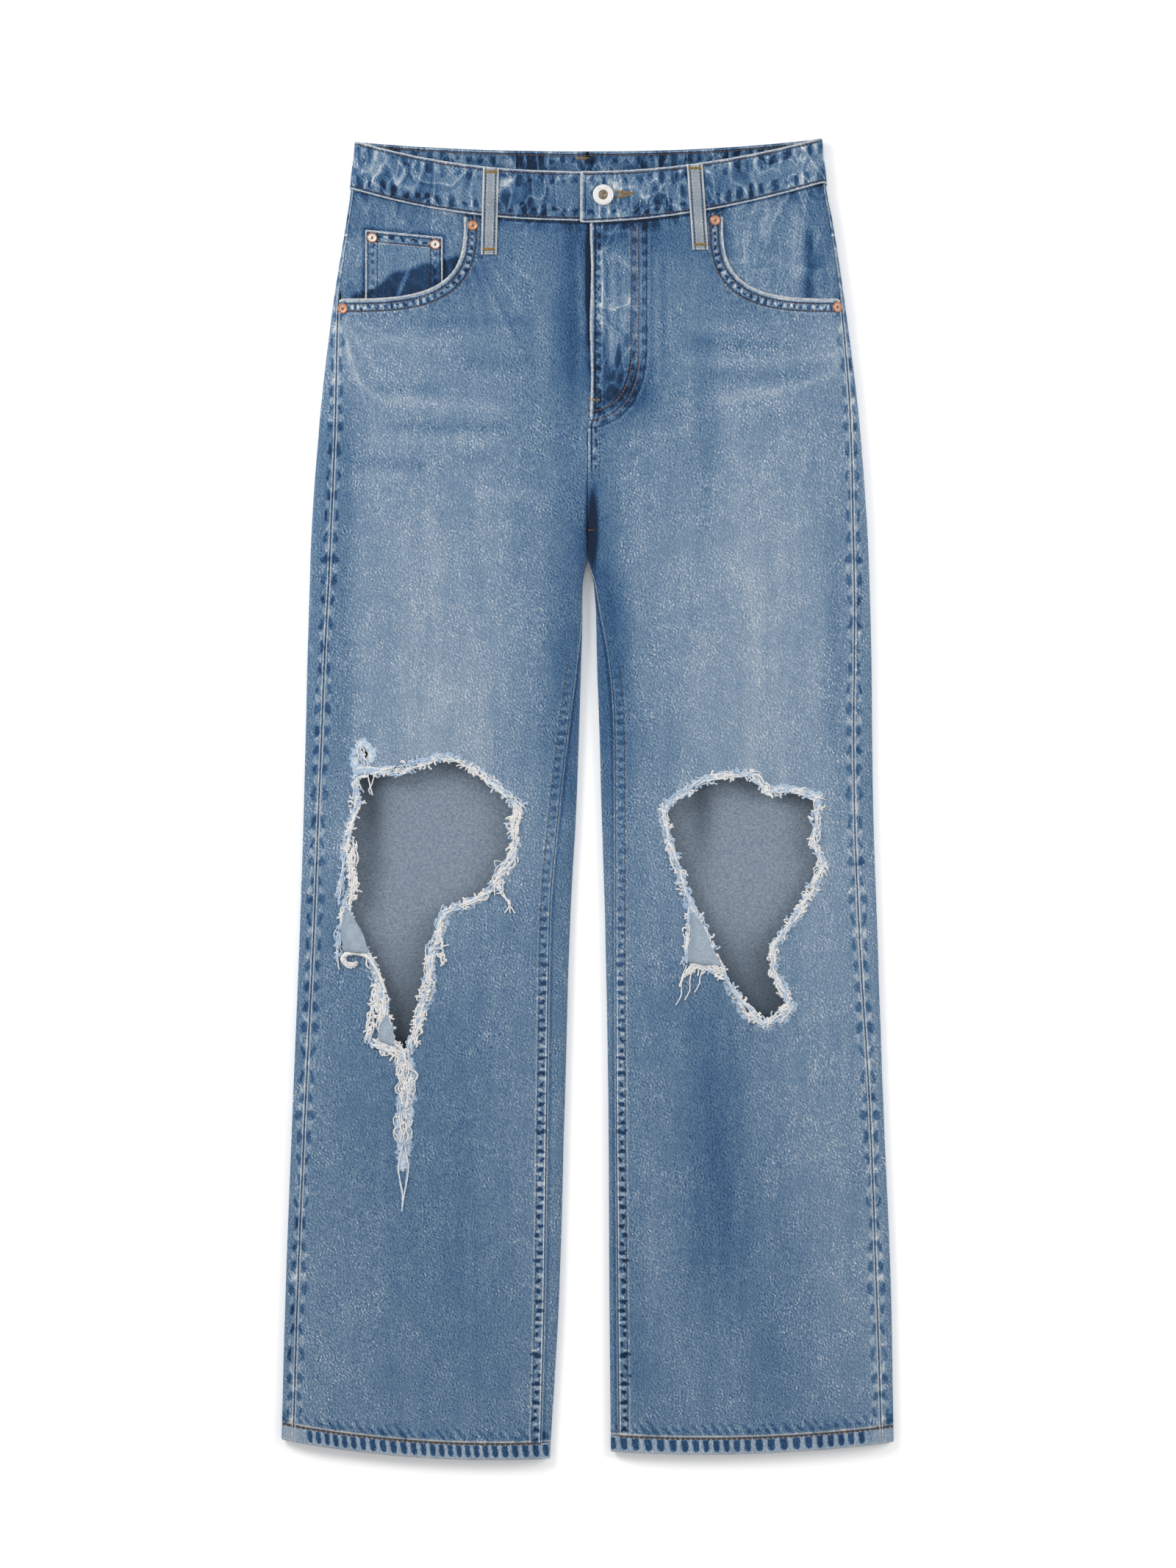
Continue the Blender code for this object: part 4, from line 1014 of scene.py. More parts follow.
for side in (RIGHT, LEFT):
    sheet("yoke_back_" + SIDE_NAME[side], yoke_place, side, BACK_COLUMNS,
                        YOKE_ROWS, CLOTH, (back_denim, denim_inside, yarn_edge), side == RIGHT)
    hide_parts("yoke_" + SIDE_NAME[side])

# ---- Waistband -----------------------------------------------------------------------------
# One straight band of doubled denim, run on after the panels and edge-stitched all round, with
# the wearer's left end buttoned over the right.  Washing has crumpled and marbled it.
BAND = 2.4
OVERLAP_END, UNDERLAP_END, UNDERLAP_RUN = -5.7, -30, 18
BAND_HALF_COLUMNS, BAND_ROWS = 290, 26


def band_point(side, s, rise, lift=0, low_by=0):
    """Point of the band's middle surface at share rise of its height, plus low_by of height."""
    y = np.full(np.shape(s), BAND_Y)
    for _ in range(5):
        x, z = on_cloth(side, y, s, BAND / 2 + lift)
        low, high = band_edges(side, x, z, y)
        y = low + (high - low) * rise + low_by
    dip = 0
    if side == RIGHT:
        dip = (BAND + GAP) * ramp(-s, OVERLAP_END - UNDERLAP_RUN, OVERLAP_END)
    return x, y, z - dip, low, high


def pulled_in(distance, row, half):
    """Groove beside an edge, from 0 to 1, where a row of stitches draws the cloth in."""
    return ramp(np.abs(distance - row), half, 0.2)


def crumple(x, y):
    """Small uneven swells of washed and pressed cloth."""
    return (np.sin(x / 6.1 + 1.3 * np.sin(y / 7)) + np.sin(x / 3.7 - y / 5.3 + 0.8)
            + np.sin(y / 4.1 + 1.7 * np.sin(x / 9.7))) / 3


def band_place(half, column, row):
    """Placing rule of the waistband's grid, from the overlap round the back to the underlap,
    with half of its columns on each side."""
    t = row / BAND_ROWS
    spots = np.zeros((3, len(column)))
    near = np.zeros((3, len(column)))
    for side, start in ((LEFT, OVERLAP_END), (RIGHT, UNDERLAP_END)):
        mine = column <= half if side == LEFT else column > half
        index = column[mine] if side == LEFT else 2 * half - column[mine]
        s = start + (mark(side, BAND_Y, "end") - start) * (index / half)
        x, y, z, low, high = band_point(side, s, t[mine])
        end = s - start
        lift = -0.75 * ramp(high - y, 1.3, 0) - 0.75 * ramp(y - low, 1.3, 0)
        lift -= 0.9 * ramp(end, 1.2, 0)
        lift -= 0.28 * (pulled_in(high - y, 2.5, 1.2) + pulled_in(y - low, 2.5, 1.2))
        lift += 0.30 * crumple(s, y) * ramp(index, half, half - 12)
        x, y, z, low, high = band_point(side, s, t[mine], lift)
        spots[:, mine] = side * np.where(index == half, 0, x), y, z
        near[:, mine] = high - y, y - low, end
    x, y, z = spots
    wear_and_shade = 0.42 + 0.05 * np.sin(x / 23) + 0.08 * ramp(np.abs(x), 150, 180)
    wear_and_shade -= 0.12 * ramp(z, 6, 3)
    wear_and_shade -= 0.12 * np.exp(-((x - 55) / 12) ** 2) + 0.05 * np.exp(-((x + 45) / 9) ** 2)
    return x, y, z, {"wear_and_shade": wear_and_shade, "roped": np.full(len(x), 1.0),
                     "rims": lengths(near[0], near[1], x), "ends": lengths(near[2], near[2], y)}


band_denim = denim(
    "denim_waistband",
    edges=(
        ("rims", 0, ((0.7, 1.1, 0.40), (2.4, 0.7, -0.42)), ((7.5, 6, 10, 0.15),), None),
        ("rims", 1, ((0.6, 1, 0.45), (2.5, 0.8, -0.45)), ((8, 6.5, 9.4, 0.17),), None),
        ("ends", 0, ((0.9, 1.5, 0.40), (3.6, 0.8, -0.35)), (), None),
    ),
    marble=1)
band = sheet("waistband_denim", band_place, BAND_HALF_COLUMNS, 2 * BAND_HALF_COLUMNS, BAND_ROWS,
             BAND, (band_denim, band_denim, band_denim))
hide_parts("waistband")

# ---- Front pockets -------------------------------------------------------------------------
# The hip facing shows inside each curved mouth and the small coin pocket is topstitched on the
# wearer's right one.  Both are thinner than the panels, and shade is painted darker on them where
# the mouth shades them.
LINING = 1
FACING_REACH = 12
FACING_DEPTH = {RIGHT: CLOTH + GAP + LINING + GAP, LEFT: CLOTH + GAP}
COIN_OUT, COIN_IN = 181.2, 118.6
COIN_MOUTH_OUT, COIN_MOUTH_IN = 464.4, 458.6
COIN_FOOT, COIN_STEPS = 396, 60
FACING_COLUMNS, FACING_ROWS = 90, 64
SHADE_LINE = ((100, 445), (114, 441), (138, 435), (154, 432), (174, 418),
              (205, 405))


def facing_wash_and_shade(side, x, y):
    """The wash inside a pocket mouth, with painted shade: under the shade line, round the coin
    pocket and beside the mouth's edges.
    """
    ripple = 1.2 * np.sin(x / 4.1) + 0.6 * np.sin(x / 2.3 + 1)
    if side == RIGHT:
        # Painted shade: darker below the shade line inside the mouth and in a ring round the coin
        # pocket.
        line = np.interp(x, *np.transpose(SHADE_LINE)) + ripple
        shade = ramp(y, line + 2.5, line - 3)
        crease = np.exp(-((x - 149 + (y - 425) * 0.4) / 1.6) ** 2) * ramp(y, 444, 430)
        mouth = np.interp(x, (COIN_IN, COIN_OUT), (COIN_MOUTH_IN, COIN_MOUTH_OUT))
        aside = np.maximum(np.maximum(COIN_IN - x, x - COIN_OUT), 0)
        beside = np.hypot(aside, np.maximum(y - mouth, 0))
        coin_shade = 0.26 * ramp(beside, 5, 0.5) * ramp(beside, 0, 0.1)
        return 0.46 - 0.38 * shade + 0.26 * crease - coin_shade - 0.12 * ramp(y, 482, 490)
    crease = np.exp(-((x - 181 - (y - 440) * 0.02) / 5.5) ** 2) * ramp(y, 500, 440)
    # Painted shade: darker beside the mouth's edges.
    edges = 0.16 * ramp(x, 124, 108) + 0.13 * ramp(x, 172, 196)
    return 0.54 - edges - 0.34 * crease - 0.14 * ramp(y, 480, 492)


def facing_place(side, column, row):
    """Placing rule of a hip facing's grid: it runs on under the front panel."""
    open_x = MOUTH_SIDE_X[side] - MOUTH_WIDTH[side]
    t = row / FACING_ROWS
    y = np.full(t.shape, 440.0)
    for _ in range(4):
        outer = mark(side, y, "side") - GAP / 2
        start = run_at(side, y, np.full(y.shape, open_x - FACING_REACH))
        s = start + (outer - start) * (column / FACING_COLUMNS) ** 0.8
        x, z = on_cloth(side, y, s, -FACING_DEPTH[side])
        across = (MOUTH_SIDE_X[side] - x) / (MOUTH_WIDTH[side] + FACING_REACH)
        fall = (1 - np.clip(across, 0, 1) ** MOUTH_POWER) ** (1 / MOUTH_POWER)
        low = MOUTH_TOP_Y - 18 - (MOUTH_DEPTH + FACING_REACH - 18) * fall
        high = band_edges(side, x, z, y)[0] - GAP
        y = low + (high - low) * t
    # It rises to meet the side seam and the band, where nothing covers it.
    risen = np.maximum(ramp(outer - s, 10, 1) * ramp(y, 408, 418),
                       ramp(high - y, 9, 0.5) * ramp(x, open_x + 2, open_x + 9))
    depth = FACING_DEPTH[side] * (1 - risen) + 0.25 * risen
    if side == LEFT:
        depth = depth + 0.5 * np.exp(-((x - 181) / 4.5) ** 2) * ramp(y, 500, 440)
    x, z = on_cloth(side, y, s, -depth)
    return side * x, y, z, {
        "wear_and_shade": facing_wash_and_shade(side, x, y), "roped": 0.6 + 0.3 * ramp(high - y, 14, 2),
        "rims": lengths(high - y, high - y, x)}


def coin_mouth(x):
    """Height of the coin pocket's mouth."""
    return COIN_MOUTH_IN + (COIN_MOUTH_OUT - COIN_MOUTH_IN) * (x - COIN_IN) / (COIN_OUT - COIN_IN)


def coin_place(side, column, row):
    """Placing rule of the coin pocket's grid, with its turned-in sides and doubled mouth."""
    x = COIN_IN + (COIN_OUT - COIN_IN) * column / COIN_STEPS
    mouth = coin_mouth(x)
    y = COIN_FOOT + (mouth - COIN_FOOT) * row / COIN_STEPS
    side_gap, top_gap = np.minimum(x - COIN_IN, COIN_OUT - x), mouth - y
    rim = np.minimum(side_gap, top_gap)
    lift = -0.3 * ramp(rim, 0.9, 0)
    lift -= 0.18 * (pulled_in(side_gap, 1.9, 0.9) + pulled_in(side_gap, 9.4, 0.9))
    lift -= 0.18 * (pulled_in(top_gap, 2.2, 0.9) + pulled_in(top_gap, 9, 0.9))
    x, z = on_cloth(side, y, run_at(side, y, x), lift - (CLOTH + GAP))
    # The facing's wash and painted shade carry on over the pocket.
    return side * x, y, z, {
        "wear_and_shade": facing_wash_and_shade(side, x, y) + 0.02, "roped": 0.45 + 0.4 * ramp(rim, 12, 8),
        "sides": lengths(side_gap, side_gap, y), "rims": lengths(top_gap, top_gap, side * x)}


facing_denim = denim("denim_hip_facing", edges=(("rims", 0, ((1, 1.6, -0.2),), (), None),),
                     marble=0.7)
coin_denim = denim(
    "denim_coin_pocket",
    edges=(
        ("sides", 0, ((0.5, 0.7, 0.45), (1.9, 0.6, -0.35), (9.4, 0.6, -0.3), (8.4, 0.5, 0.15)),
         ((5.6, 3, 7.5, 0.16),), None),
        ("rims", 0, ((0.7, 1, 0.50), (2.4, 0.7, -0.4), (9.6, 0.8, 0.30), (8.4, 0.6, -0.35)),
         ((5.2, 2.6, 9, 0.26),), None),
    ),
    marble=0.5)
for side in (RIGHT, LEFT):
    sheet("hip_facing_" + SIDE_NAME[side], facing_place, side, FACING_COLUMNS,
                          FACING_ROWS, LINING, (facing_denim, denim_inside, yarn_edge),
                          side == RIGHT)
    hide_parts("pocket_facing_" + SIDE_NAME[side])
coin = sheet("coin_pocket_denim", coin_place, RIGHT, COIN_STEPS, COIN_STEPS, LINING,
             (coin_denim, denim_inside, yarn_edge), True)
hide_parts("coin_pocket")

# ---- Back pockets --------------------------------------------------------------------------
# Two plain patches with a shallow point, topstitched to the seat, under the garment as it lies.
POCKET_X, POCKET_TOP_Y = 104, 402
POCKET_WIDTH, POCKET_FOOT_WIDTH = 148, 126
POCKET_HEIGHT, POCKET_POINT = 142, 16
POCKET_STEPS = 70


def pocket_place(side, column, row):
    """Placing rule of a back pocket's grid."""
    across, up = column / POCKET_STEPS - 0.5, row / POCKET_STEPS
    width = POCKET_FOOT_WIDTH + (POCKET_WIDTH - POCKET_FOOT_WIDTH) * up
    x = side * (POCKET_X - width * across)
    foot = POCKET_TOP_Y - POCKET_HEIGHT - POCKET_POINT * (1 - 2 * np.abs(across))
    y = foot + (POCKET_TOP_Y - foot) * up
    rim, top = np.minimum(width * (0.5 - np.abs(across)), y - foot), POCKET_TOP_Y - y
    z = smooth(y, LAY, LAY_COLUMNS, "base") - CLOTH - GAP
    z = z + 0.35 * ramp(np.minimum(rim, top), 1.2, 0)
    z = z + 0.15 * (pulled_in(rim, 2, 1) + pulled_in(rim, 8, 1))
    return x, y, z, {
        "wear_and_shade": np.full(len(x), 0.5), "roped": ramp(np.minimum(rim, top), 10.0, 5.0),
        "sides": lengths(rim, rim, x + y), "rims": lengths(top, top, x)}


for side in (RIGHT, LEFT):
    patch = sheet("patch_pocket_" + SIDE_NAME[side], pocket_place, side, POCKET_STEPS,
                  POCKET_STEPS, CLOTH, (coin_denim, denim_inside, yarn_edge), side == RIGHT)
    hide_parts("back_pocket_" + SIDE_NAME[side])

# ---- Belt loops ----------------------------------------------------------------------------
# Narrow strips of denim folded in three, stitched down both edges and bar-tacked at their ends.
# Their face has worn nearly to the bare cotton.
LOOP, LOOP_WIDTH = 1.8, 13
LOOP_ACROSS, LOOP_ALONG = 18, 90
LOOP_COLUMNS = ("name", "side", "x_top", "x_foot", "length", "front")
LOOPS = (
    ("belt_loop_front_right", RIGHT, 78.9, 80.7, 71, True),
    ("belt_loop_front_left", LEFT, 87.3, 92.1, 70, True),
    ("belt_loop_side_right", RIGHT, 172, 174.5, 68, False),
    ("belt_loop_side_left", LEFT, 174, 176.5, 68, False),
    ("belt_loop_back", LEFT, 7.2, 7.2, 68, False),
)


def loop_point(loop, across, along, lift):
    """Point of a belt loop: across from -0.5 to 0.5 of its width, along in mm from its top."""
    side, front = loop["side"], loop["front"]
    face_z = smooth(BAND_Y, LAY, LAY_COLUMNS, "top" if front else "base")
    low, high = band_edges(side, loop["x_top"], face_z, BAND_Y)
    top_y = high - 0.5
    y = top_y - along
    stops = (top_y - loop["length"], low - 8, low - 2.5, low, high - 12, top_y)
    rises = (GAP, GAP + 0.2, BAND / 2, BAND / 2 + GAP, BAND / 2 + GAP, BAND / 2 + GAP)
    rise = np.interp(y, stops, rises) + LOOP + lift
    x = loop["x_top"] + (loop["x_foot"] - loop["x_top"]) * along / loop["length"]
    x = x + LOOP_WIDTH * across
    if front:
        x, z = on_cloth(side, y, run_at(side, y, x), rise)
    else:
        z = smooth(y, LAY, LAY_COLUMNS, "base") - rise
    return side * x, y, z


def loop_place(loop, column, row):
    """Placing rule of a belt loop's grid."""
    across, along = column / LOOP_ACROSS - 0.5, (1 - row / LOOP_ALONG) * loop["length"]
    rim = LOOP_WIDTH * (0.5 - np.abs(across))
    tip = np.minimum(along, loop["length"] - along)
    lift = -0.7 * ramp(rim, 1.1, 0) - 0.35 * pulled_in(rim, 2.5, 1)
    lift += 0.25 * ramp(tip, 7, 5) - 0.8 * ramp(tip, 1.2, 0) - 0.3
    lift += 0.10 * np.sin(along / 4.3 + across * 5)
    return *loop_point(loop, across, along, lift), {
        "wear_and_shade": 0.70 - 0.04 * np.cos(along / 5.0), "roped": np.full(len(along), 0.15),
        "sides": lengths(rim, rim, along), "rims": lengths(tip, tip, rim)}


LOOP_SHADES = ((0, "#182838"), (0.3, "#44566b"), (0.55, "#7b8793"), (0.75, "#97a0a9"),
               (1, "#d6d6d4"))
loop_denim = denim(
    "denim_belt_loop", shades=LOOP_SHADES,
    edges=(
        ("sides", 0, ((0.5, 0.8, 0.34), (2.3, 0.9, -0.42), (4, 0.8, 0.05)), (), None),
        ("rims", 0, ((0.6, 0.9, 0.25),), (), None),
    ),
    marble=0.4, grain=0.7)
loops = []
for row in LOOPS:
    loop = dict(zip(LOOP_COLUMNS, row))
    strip = sheet(loop["name"] + "_strip", loop_place, loop, LOOP_ACROSS, LOOP_ALONG, LOOP,
                  (loop_denim, denim_inside, yarn_edge), (loop["side"] == RIGHT) == loop["front"])
    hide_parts(loop["name"])
    loops.append(loop)

# ---- Hems ----------------------------------------------------------------------------------
# Each leg ends in a 13 mm hem, turned twice and stitched with rust thread.  The wash has roped
# it: dark hollows slant between pale ridges.
HEM = 2.4
HEM_COLUMNS, HEM_ROWS = 480, 16
HEM_ROPE = {RIGHT: (7.7, -0.12), LEFT: (9.2, 0.10)}     # pitch of the hollows and their lean


def hem_place(side, column, row):
    """Placing rule of a hem's ring."""
    up = HEM_TURN * row / HEM_ROWS
    y = HEM_LINE[side][0] + up
    share = column / HEM_COLUMNS
    for _ in range(4):
        s = mark(side, y, "end") * share
        x, z = on_cloth(side, y, s)
        y = hem_edge(side, x) + up
    joint = ramp(np.minimum(share, 1 - share), 0.004, 0.03)
    above = ramp(z, 2, 7)
    pitch, lean = HEM_ROPE[side]
    turn = 2 * math.pi * (x + lean * up) / pitch + 1.3 * np.sin(x / 17)
    lift = -0.9 * ramp(up, 1.6, 0) - 0.35 * ramp(up, HEM_TURN - 1.4, HEM_TURN)
    lift += 0.30 * np.cos(turn) * ramp(up, 0.5, 4) * ramp(up, HEM_TURN, 9)
    x, z = on_cloth(side, y, s, lift * joint * above - 0.3 * ramp(up, 1.6, 0) * (1 - above))
    # Each hollow has straight sides and a round foot.
    aside = np.arccos(-np.cos(turn)) / (0.62 * math.pi)
    below = np.maximum(5.6 - up, 0) / 3.8
    hollow = ramp(np.hypot(aside, below), 1.05, 0.82) * ramp(up, 12.2, 11.2)
    hollow *= ramp(x, 233, 226)
    return side * x, y, z, {
        "wear_and_shade": 0.50 + above * (0.24 - 0.56 * hollow) + 0.10 * ramp(up, 2.6, 0.6),
        "roped": np.full(len(x), 0.3), "rims": lengths(up, up, x)}


hem_denim = denim("denim_hem", marble=0.3, grain=0.8)
for side in (RIGHT, LEFT):
    hem = sheet("turned_hem_" + SIDE_NAME[side], hem_place, side, HEM_COLUMNS, HEM_ROWS,
                HEM, (hem_denim, denim_inside, yarn_edge), side == RIGHT, ring=True)
    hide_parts("hem_" + SIDE_NAME[side])

# ---- Button and rivets ---------------------------------------------------------------------
# The shank button is a die-cast zinc ring with a dull white-silver plating, round a sunken
# brownish hub.  The rivets are copper-plated, with a rounded rim and a small nipple.
BUTTON_X, BUTTON_Y = 12.7, 493
BUTTON_HEIGHT = 3
RIVET_RADIUS, RIVET_HEIGHT = 4.35, 1.3
BUTTON_TURNS, RIVET_TURNS = 48, 28
RIVET_COLUMNS = ("side", "x", "y", "depth")
RIVETS = (
    (RIGHT, 93.9, 468.2, 0),
    (RIGHT, 199.6, 400.4, 0),
    (RIGHT, 176, 458.2, CLOTH + GAP),
    (RIGHT, 124.5, 452.8, CLOTH + GAP),
    (LEFT, 104.1, 472.4, 0),
    (LEFT, 203.6, 401.6, 0),
)


def metal(name, low, high, rough, scale, shine):
    """Plated metal, dulled by washing: two close tones in soft blotches and fine scratches."""
    look, tree, shader, blotch, _ = blotched(name, low, high, 0.15,
                                             {"Scale": scale, "Roughness": 0.6}, 0.15, 0.2)
    dull = add(tree, "MapRange", (blotch, 0.3, 0.7, rough + 0.08, rough - 0.05))
    wire(tree, shader, {"Roughness": dull, "Metallic": shine})
    return look


def turned(name, profile, steps, looks, x, y, z, tilt=0):
    """Round piece: a profile of radius, height and look number, turned about its own axis."""
    bm = bmesh.new()
    verts = [bm.verts.new((radius * MM, 0, height * MM)) for radius, height, _ in profile]
    edges = [bm.edges.new(pair) for pair in zip(verts, verts[1:])]
    bmesh.ops.spin(bm, geom=verts + edges, cent=(0, 0, 0), axis=(0, 0, 1), steps=steps,
                   angle=2 * math.pi, use_merge=True, use_duplicate=False)
    bmesh.ops.remove_doubles(bm, verts=bm.verts, dist=1e-7)
    bmesh.ops.recalc_face_normals(bm, faces=bm.faces)
    stops = [radius * MM for radius, _, _ in profile]
    for face in bm.faces:
        reach = face.calc_center_median().xy.length
        inner = [look for stop, (_, _, look) in zip(stops, profile) if stop >= reach * 0.999]
        face.material_index = inner[-1] if inner else 0
        face.smooth = True
    bmesh.ops.transform(bm, verts=bm.verts,
                        matrix=Matrix.Translation((x * MM, y * MM, z * MM))
                        @ Matrix.Rotation(tilt, 4, "Y"))
    return riding(name, meshed(bm, name), looks)


white_metal = metal("white_plated_zinc", "#d3d1cf", "#ebe9e6", 0.5, 900, 0.25)
hub_metal = metal("darkened_steel_hub", "#5d5348", "#8c8070", 0.45, 1500, 0.6)
copper = metal("antique_copper_plate", "#7d5442", "#b27f66", 0.42, 1200, 0.6)
rubbed = metal("rubbed_copper_face", "#a3745e", "#d2a387", 0.42, 1200, 0.4)
rubbed_pale = metal("rubbed_rivet_face_pale", "#c2b9b0", "#ebe4dc", 0.4, 1200, 0.4)
nipple = metal("darkened_rivet_nipple", "#453d38", "#7b7068", 0.4, 1200, 0.6)
_, seat = on_cloth(LEFT, BUTTON_Y, run_at(LEFT, BUTTON_Y, BUTTON_X), BAND / 2 + GAP)
top = BUTTON_HEIGHT
button = turned(
    "shank_button",
    ((0, 0, 0), (7, 0, 0), (8.1, 0.6, 0), (8.5, 1.3, 0), (8.5, top - 1.1, 0),
     (8.3, top - 0.5, 0), (7.9, top - 0.15, 0), (7.3, top, 0), (6.2, top - 0.1, 0),
     (4.6, top - 0.25, 0), (4.1, top - 0.35, 0), (3.9, top - 0.9, 1), (3.4, top - 1.1, 1),
     (2.9, top - 0.9, 1), (2.5, top - 0.6, 1), (1.9, top - 0.55, 1), (1.5, top - 0.9, 1),
     (0, top - 1, 1)),
    BUTTON_TURNS, (white_metal, hub_metal), BUTTON_X, BUTTON_Y, float(seat))
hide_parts("button")
for number, row in enumerate(RIVETS, start=1):
    rivet = dict(zip(RIVET_COLUMNS, row))
    side, y = rivet["side"], rivet["y"]
    s = run_at(side, y, rivet["x"])
    x, z = on_cloth(side, y, s, GAP + 0.1 - rivet["depth"])
    x0, z0 = on_cloth(side, y, s - RIVET_RADIUS)
    x1, z1 = on_cloth(side, y, s + RIVET_RADIUS)
    tilt = -side * math.atan2(z1 - z0, x1 - x0)
    face = rubbed if rivet["depth"] == 0 else rubbed_pale
    stud = turned(
        "rivet_cap_%d" % number,
        ((0, 0, 0), (3.9, 0, 0), (4.3, 0.3, 0), (RIVET_RADIUS, 0.7, 0), (4, 1.1, 0),
         (3.6, 1.25, 0), (3.2, 1.1, 1), (2.7, 0.75, 1), (2, 0.65, 1), (1.5, 0.8, 1),
         (1.1, 1.2, 2), (0.7, RIVET_HEIGHT + 0.1, 2), (0, RIVET_HEIGHT + 0.15, 2)),
        RIVET_TURNS, (copper, face, nipple), side * float(x), y, float(z), tilt)
    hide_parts("rivet_%d" % number)

# ---- Folded edges --------------------------------------------------------------------------
# Where denim is turned over at a pocket mouth, the fly, the band's end and the coin pocket, the
# fold stands up as a thin roll and has worn to bare cream cotton.


def rolls(name, strands, look, radius=1):
    """Thin round strands, each given by its points and its radius at each of them."""
    curve = bpy.data.curves.new(name, "CURVE")
    curve.dimensions = "3D"
    curve.bevel_depth = radius * MM
    curve.bevel_resolution = 0
    curve.use_fill_caps = True
    for points, sizes in strands:
        points = np.asarray(points, float) * MM
        spline = curve.splines.new("POLY")
        spline.points.add(len(points) - 1)
        spline.points.foreach_set("co", np.column_stack([points, np.ones(len(points))]).ravel())
        spline.points.foreach_set("radius", np.broadcast_to(sizes, len(points)).astype(float))
    rough = placed(name + "_curve", curve)
    mesh = bpy.data.meshes.new_from_object(
        rough.evaluated_get(bpy.context.evaluated_depsgraph_get()))
    bpy.data.objects.remove(rough)
    bpy.data.curves.remove(curve)
    mesh.name = name
    mesh.materials.clear()
    mesh.shade_smooth()
    return riding(name, mesh, (look,))


def front_points(side, x, y, lift):
    """Points over the top face at distance x from the centre line."""
    x, y = np.broadcast_arrays(np.asarray(x, float), np.asarray(y, float))
    s = run_at(side, y, x)
    px, pz = on_cloth(side, y, s, lift)
    return np.column_stack([side * px, y, pz - fly_dip(side, s, y)])


def straight(side, start, end, count, lift):
    """Points over the top face on a straight line from start to end."""
    return front_points(side, *np.linspace(start, end, count).T, lift)


def mouth_points(side, inset, lift):
    """Points along a pocket mouth, up to where the waistband covers it."""
    x, y = mouth_line(side, inset)
    seen = y < band_edges(side, x, 14, y)[0] - 1
    return front_points(side, x[seen], y[seen], lift)


def band_points(side, s, rise, lift, low_by):
    """Points along the band at share rise of its height, plus low_by of height."""
    x, y, z, _, _ = band_point(side, s, rise, lift, low_by)
    return np.column_stack([side * x, y, z])


def along_route(points):
    """Distance of each point of a route from its start."""
    gaps = np.linalg.norm(np.diff(points, axis=0), axis=1)
    return np.concatenate([[0], np.cumsum(gaps)])


def at_places(points, along, places):
    """Points of a route at distances from its start."""
    return np.column_stack([np.interp(places, along, points[:, i]) for i in range(3)])


edge_cotton = plain_cotton("worn_fold_cotton", "#93a5b8", "#ded9d3", 420)
edges_made = []


def fold_over(points, size, shake=0.06, spread=0.06, step=1.5):
    """A worn roll along a route, shaken a little and of uneven thickness."""
    along = along_route(points)
    count = max(int(along[-1] / step), 1) + 1
    route = at_places(points, along, np.linspace(0, along[-1], count))
    route = route + dice.normal(0, shake, route.shape)
    edges_made.append((route, size + dice.normal(0, spread, count)))


for side in (RIGHT, LEFT):
    fold_over(mouth_points(side, 0.1, -0.35), 1.15, 0.07)
fly_y = np.linspace(FLY_END_Y - 10, 470, 120)
fold_over(front_points(LEFT, FLY_EDGE + 0.5 * np.sin(fly_y / 13) + 0.4, fly_y, -0.3), 1.15)
fold_over(band_points(LEFT, np.full(30, OVERLAP_END + 0.6), np.linspace(0.02, 0.98, 30), -0.6, 0.0),
          1.25)
for rise, low_by in ((0, 0.7), (1, -0.7)):
    for side, start in ((LEFT, OVERLAP_END), (RIGHT, -OVERLAP_END + 1.5)):
        s = np.linspace(start + 0.8, mark(side, BAND_Y, "crown_out") + 18, 170)
        fold_over(band_points(side, s, rise, -0.45, low_by), 0.75, 0.06, 0.05)
corners = ((COIN_OUT - 0.4, COIN_FOOT), (COIN_OUT - 0.4, COIN_MOUTH_OUT - 0.4),
           (COIN_IN + 0.4, COIN_MOUTH_IN - 0.4), (COIN_IN + 0.4, COIN_FOOT))
for start, end in zip(corners, corners[1:]):
    fold_over(straight(RIGHT, start, end, 40, -(CLOTH + GAP) - 0.25), 0.72, 0.06, 0.05)
for side in (RIGHT, LEFT):
    seam_y = np.linspace(HEM_LINE[side][0] + 15, 402, 520)
    for gap, lift, size in ((1.1, -0.05, 0.52), (-1.3, -0.15, 0.46)):
        x, z = on_cloth(side, seam_y, mark(side, seam_y, "side") + gap, lift)
        fold_over(np.column_stack([side * x, seam_y, z]), size, 0.05, 0.03, 2.2)
folded_edges = rolls("folded_edge_rolls", edges_made, edge_cotton)

# ---- Stitching -----------------------------------------------------------------------------
# Corespun polyester thread of Tex 105, 3 mm a stitch: rust on the band, pockets and hems, navy
# beside it, copper on the fly and ochre on the bar tacks.  Each stitch sinks in at its ends.
sewn = {"rust": [], "navy": [], "copper": [], "ochre": [], "brown": []}


def sew(colour, route, size=0.42, pitch=3.2, length=2.5, shake=0.08):
    """Lay one row of stitches along a route."""
    along = along_route(route)
    for start in np.arange(0.4, along[-1] - length, pitch):
        points = at_places(route, along, start + length * np.array([0.0, 0.18, 0.5, 0.82, 1.0]))
        points[:, :2] += dice.normal(0, shake, 2)
        points[:, 2] += np.array([-0.45, 0.05, 0.22, 0.05, -0.45]) * size / 0.42
        sewn[colour].append((points, size * np.array([0.55, 1.0, 1.1, 1.0, 0.55])))


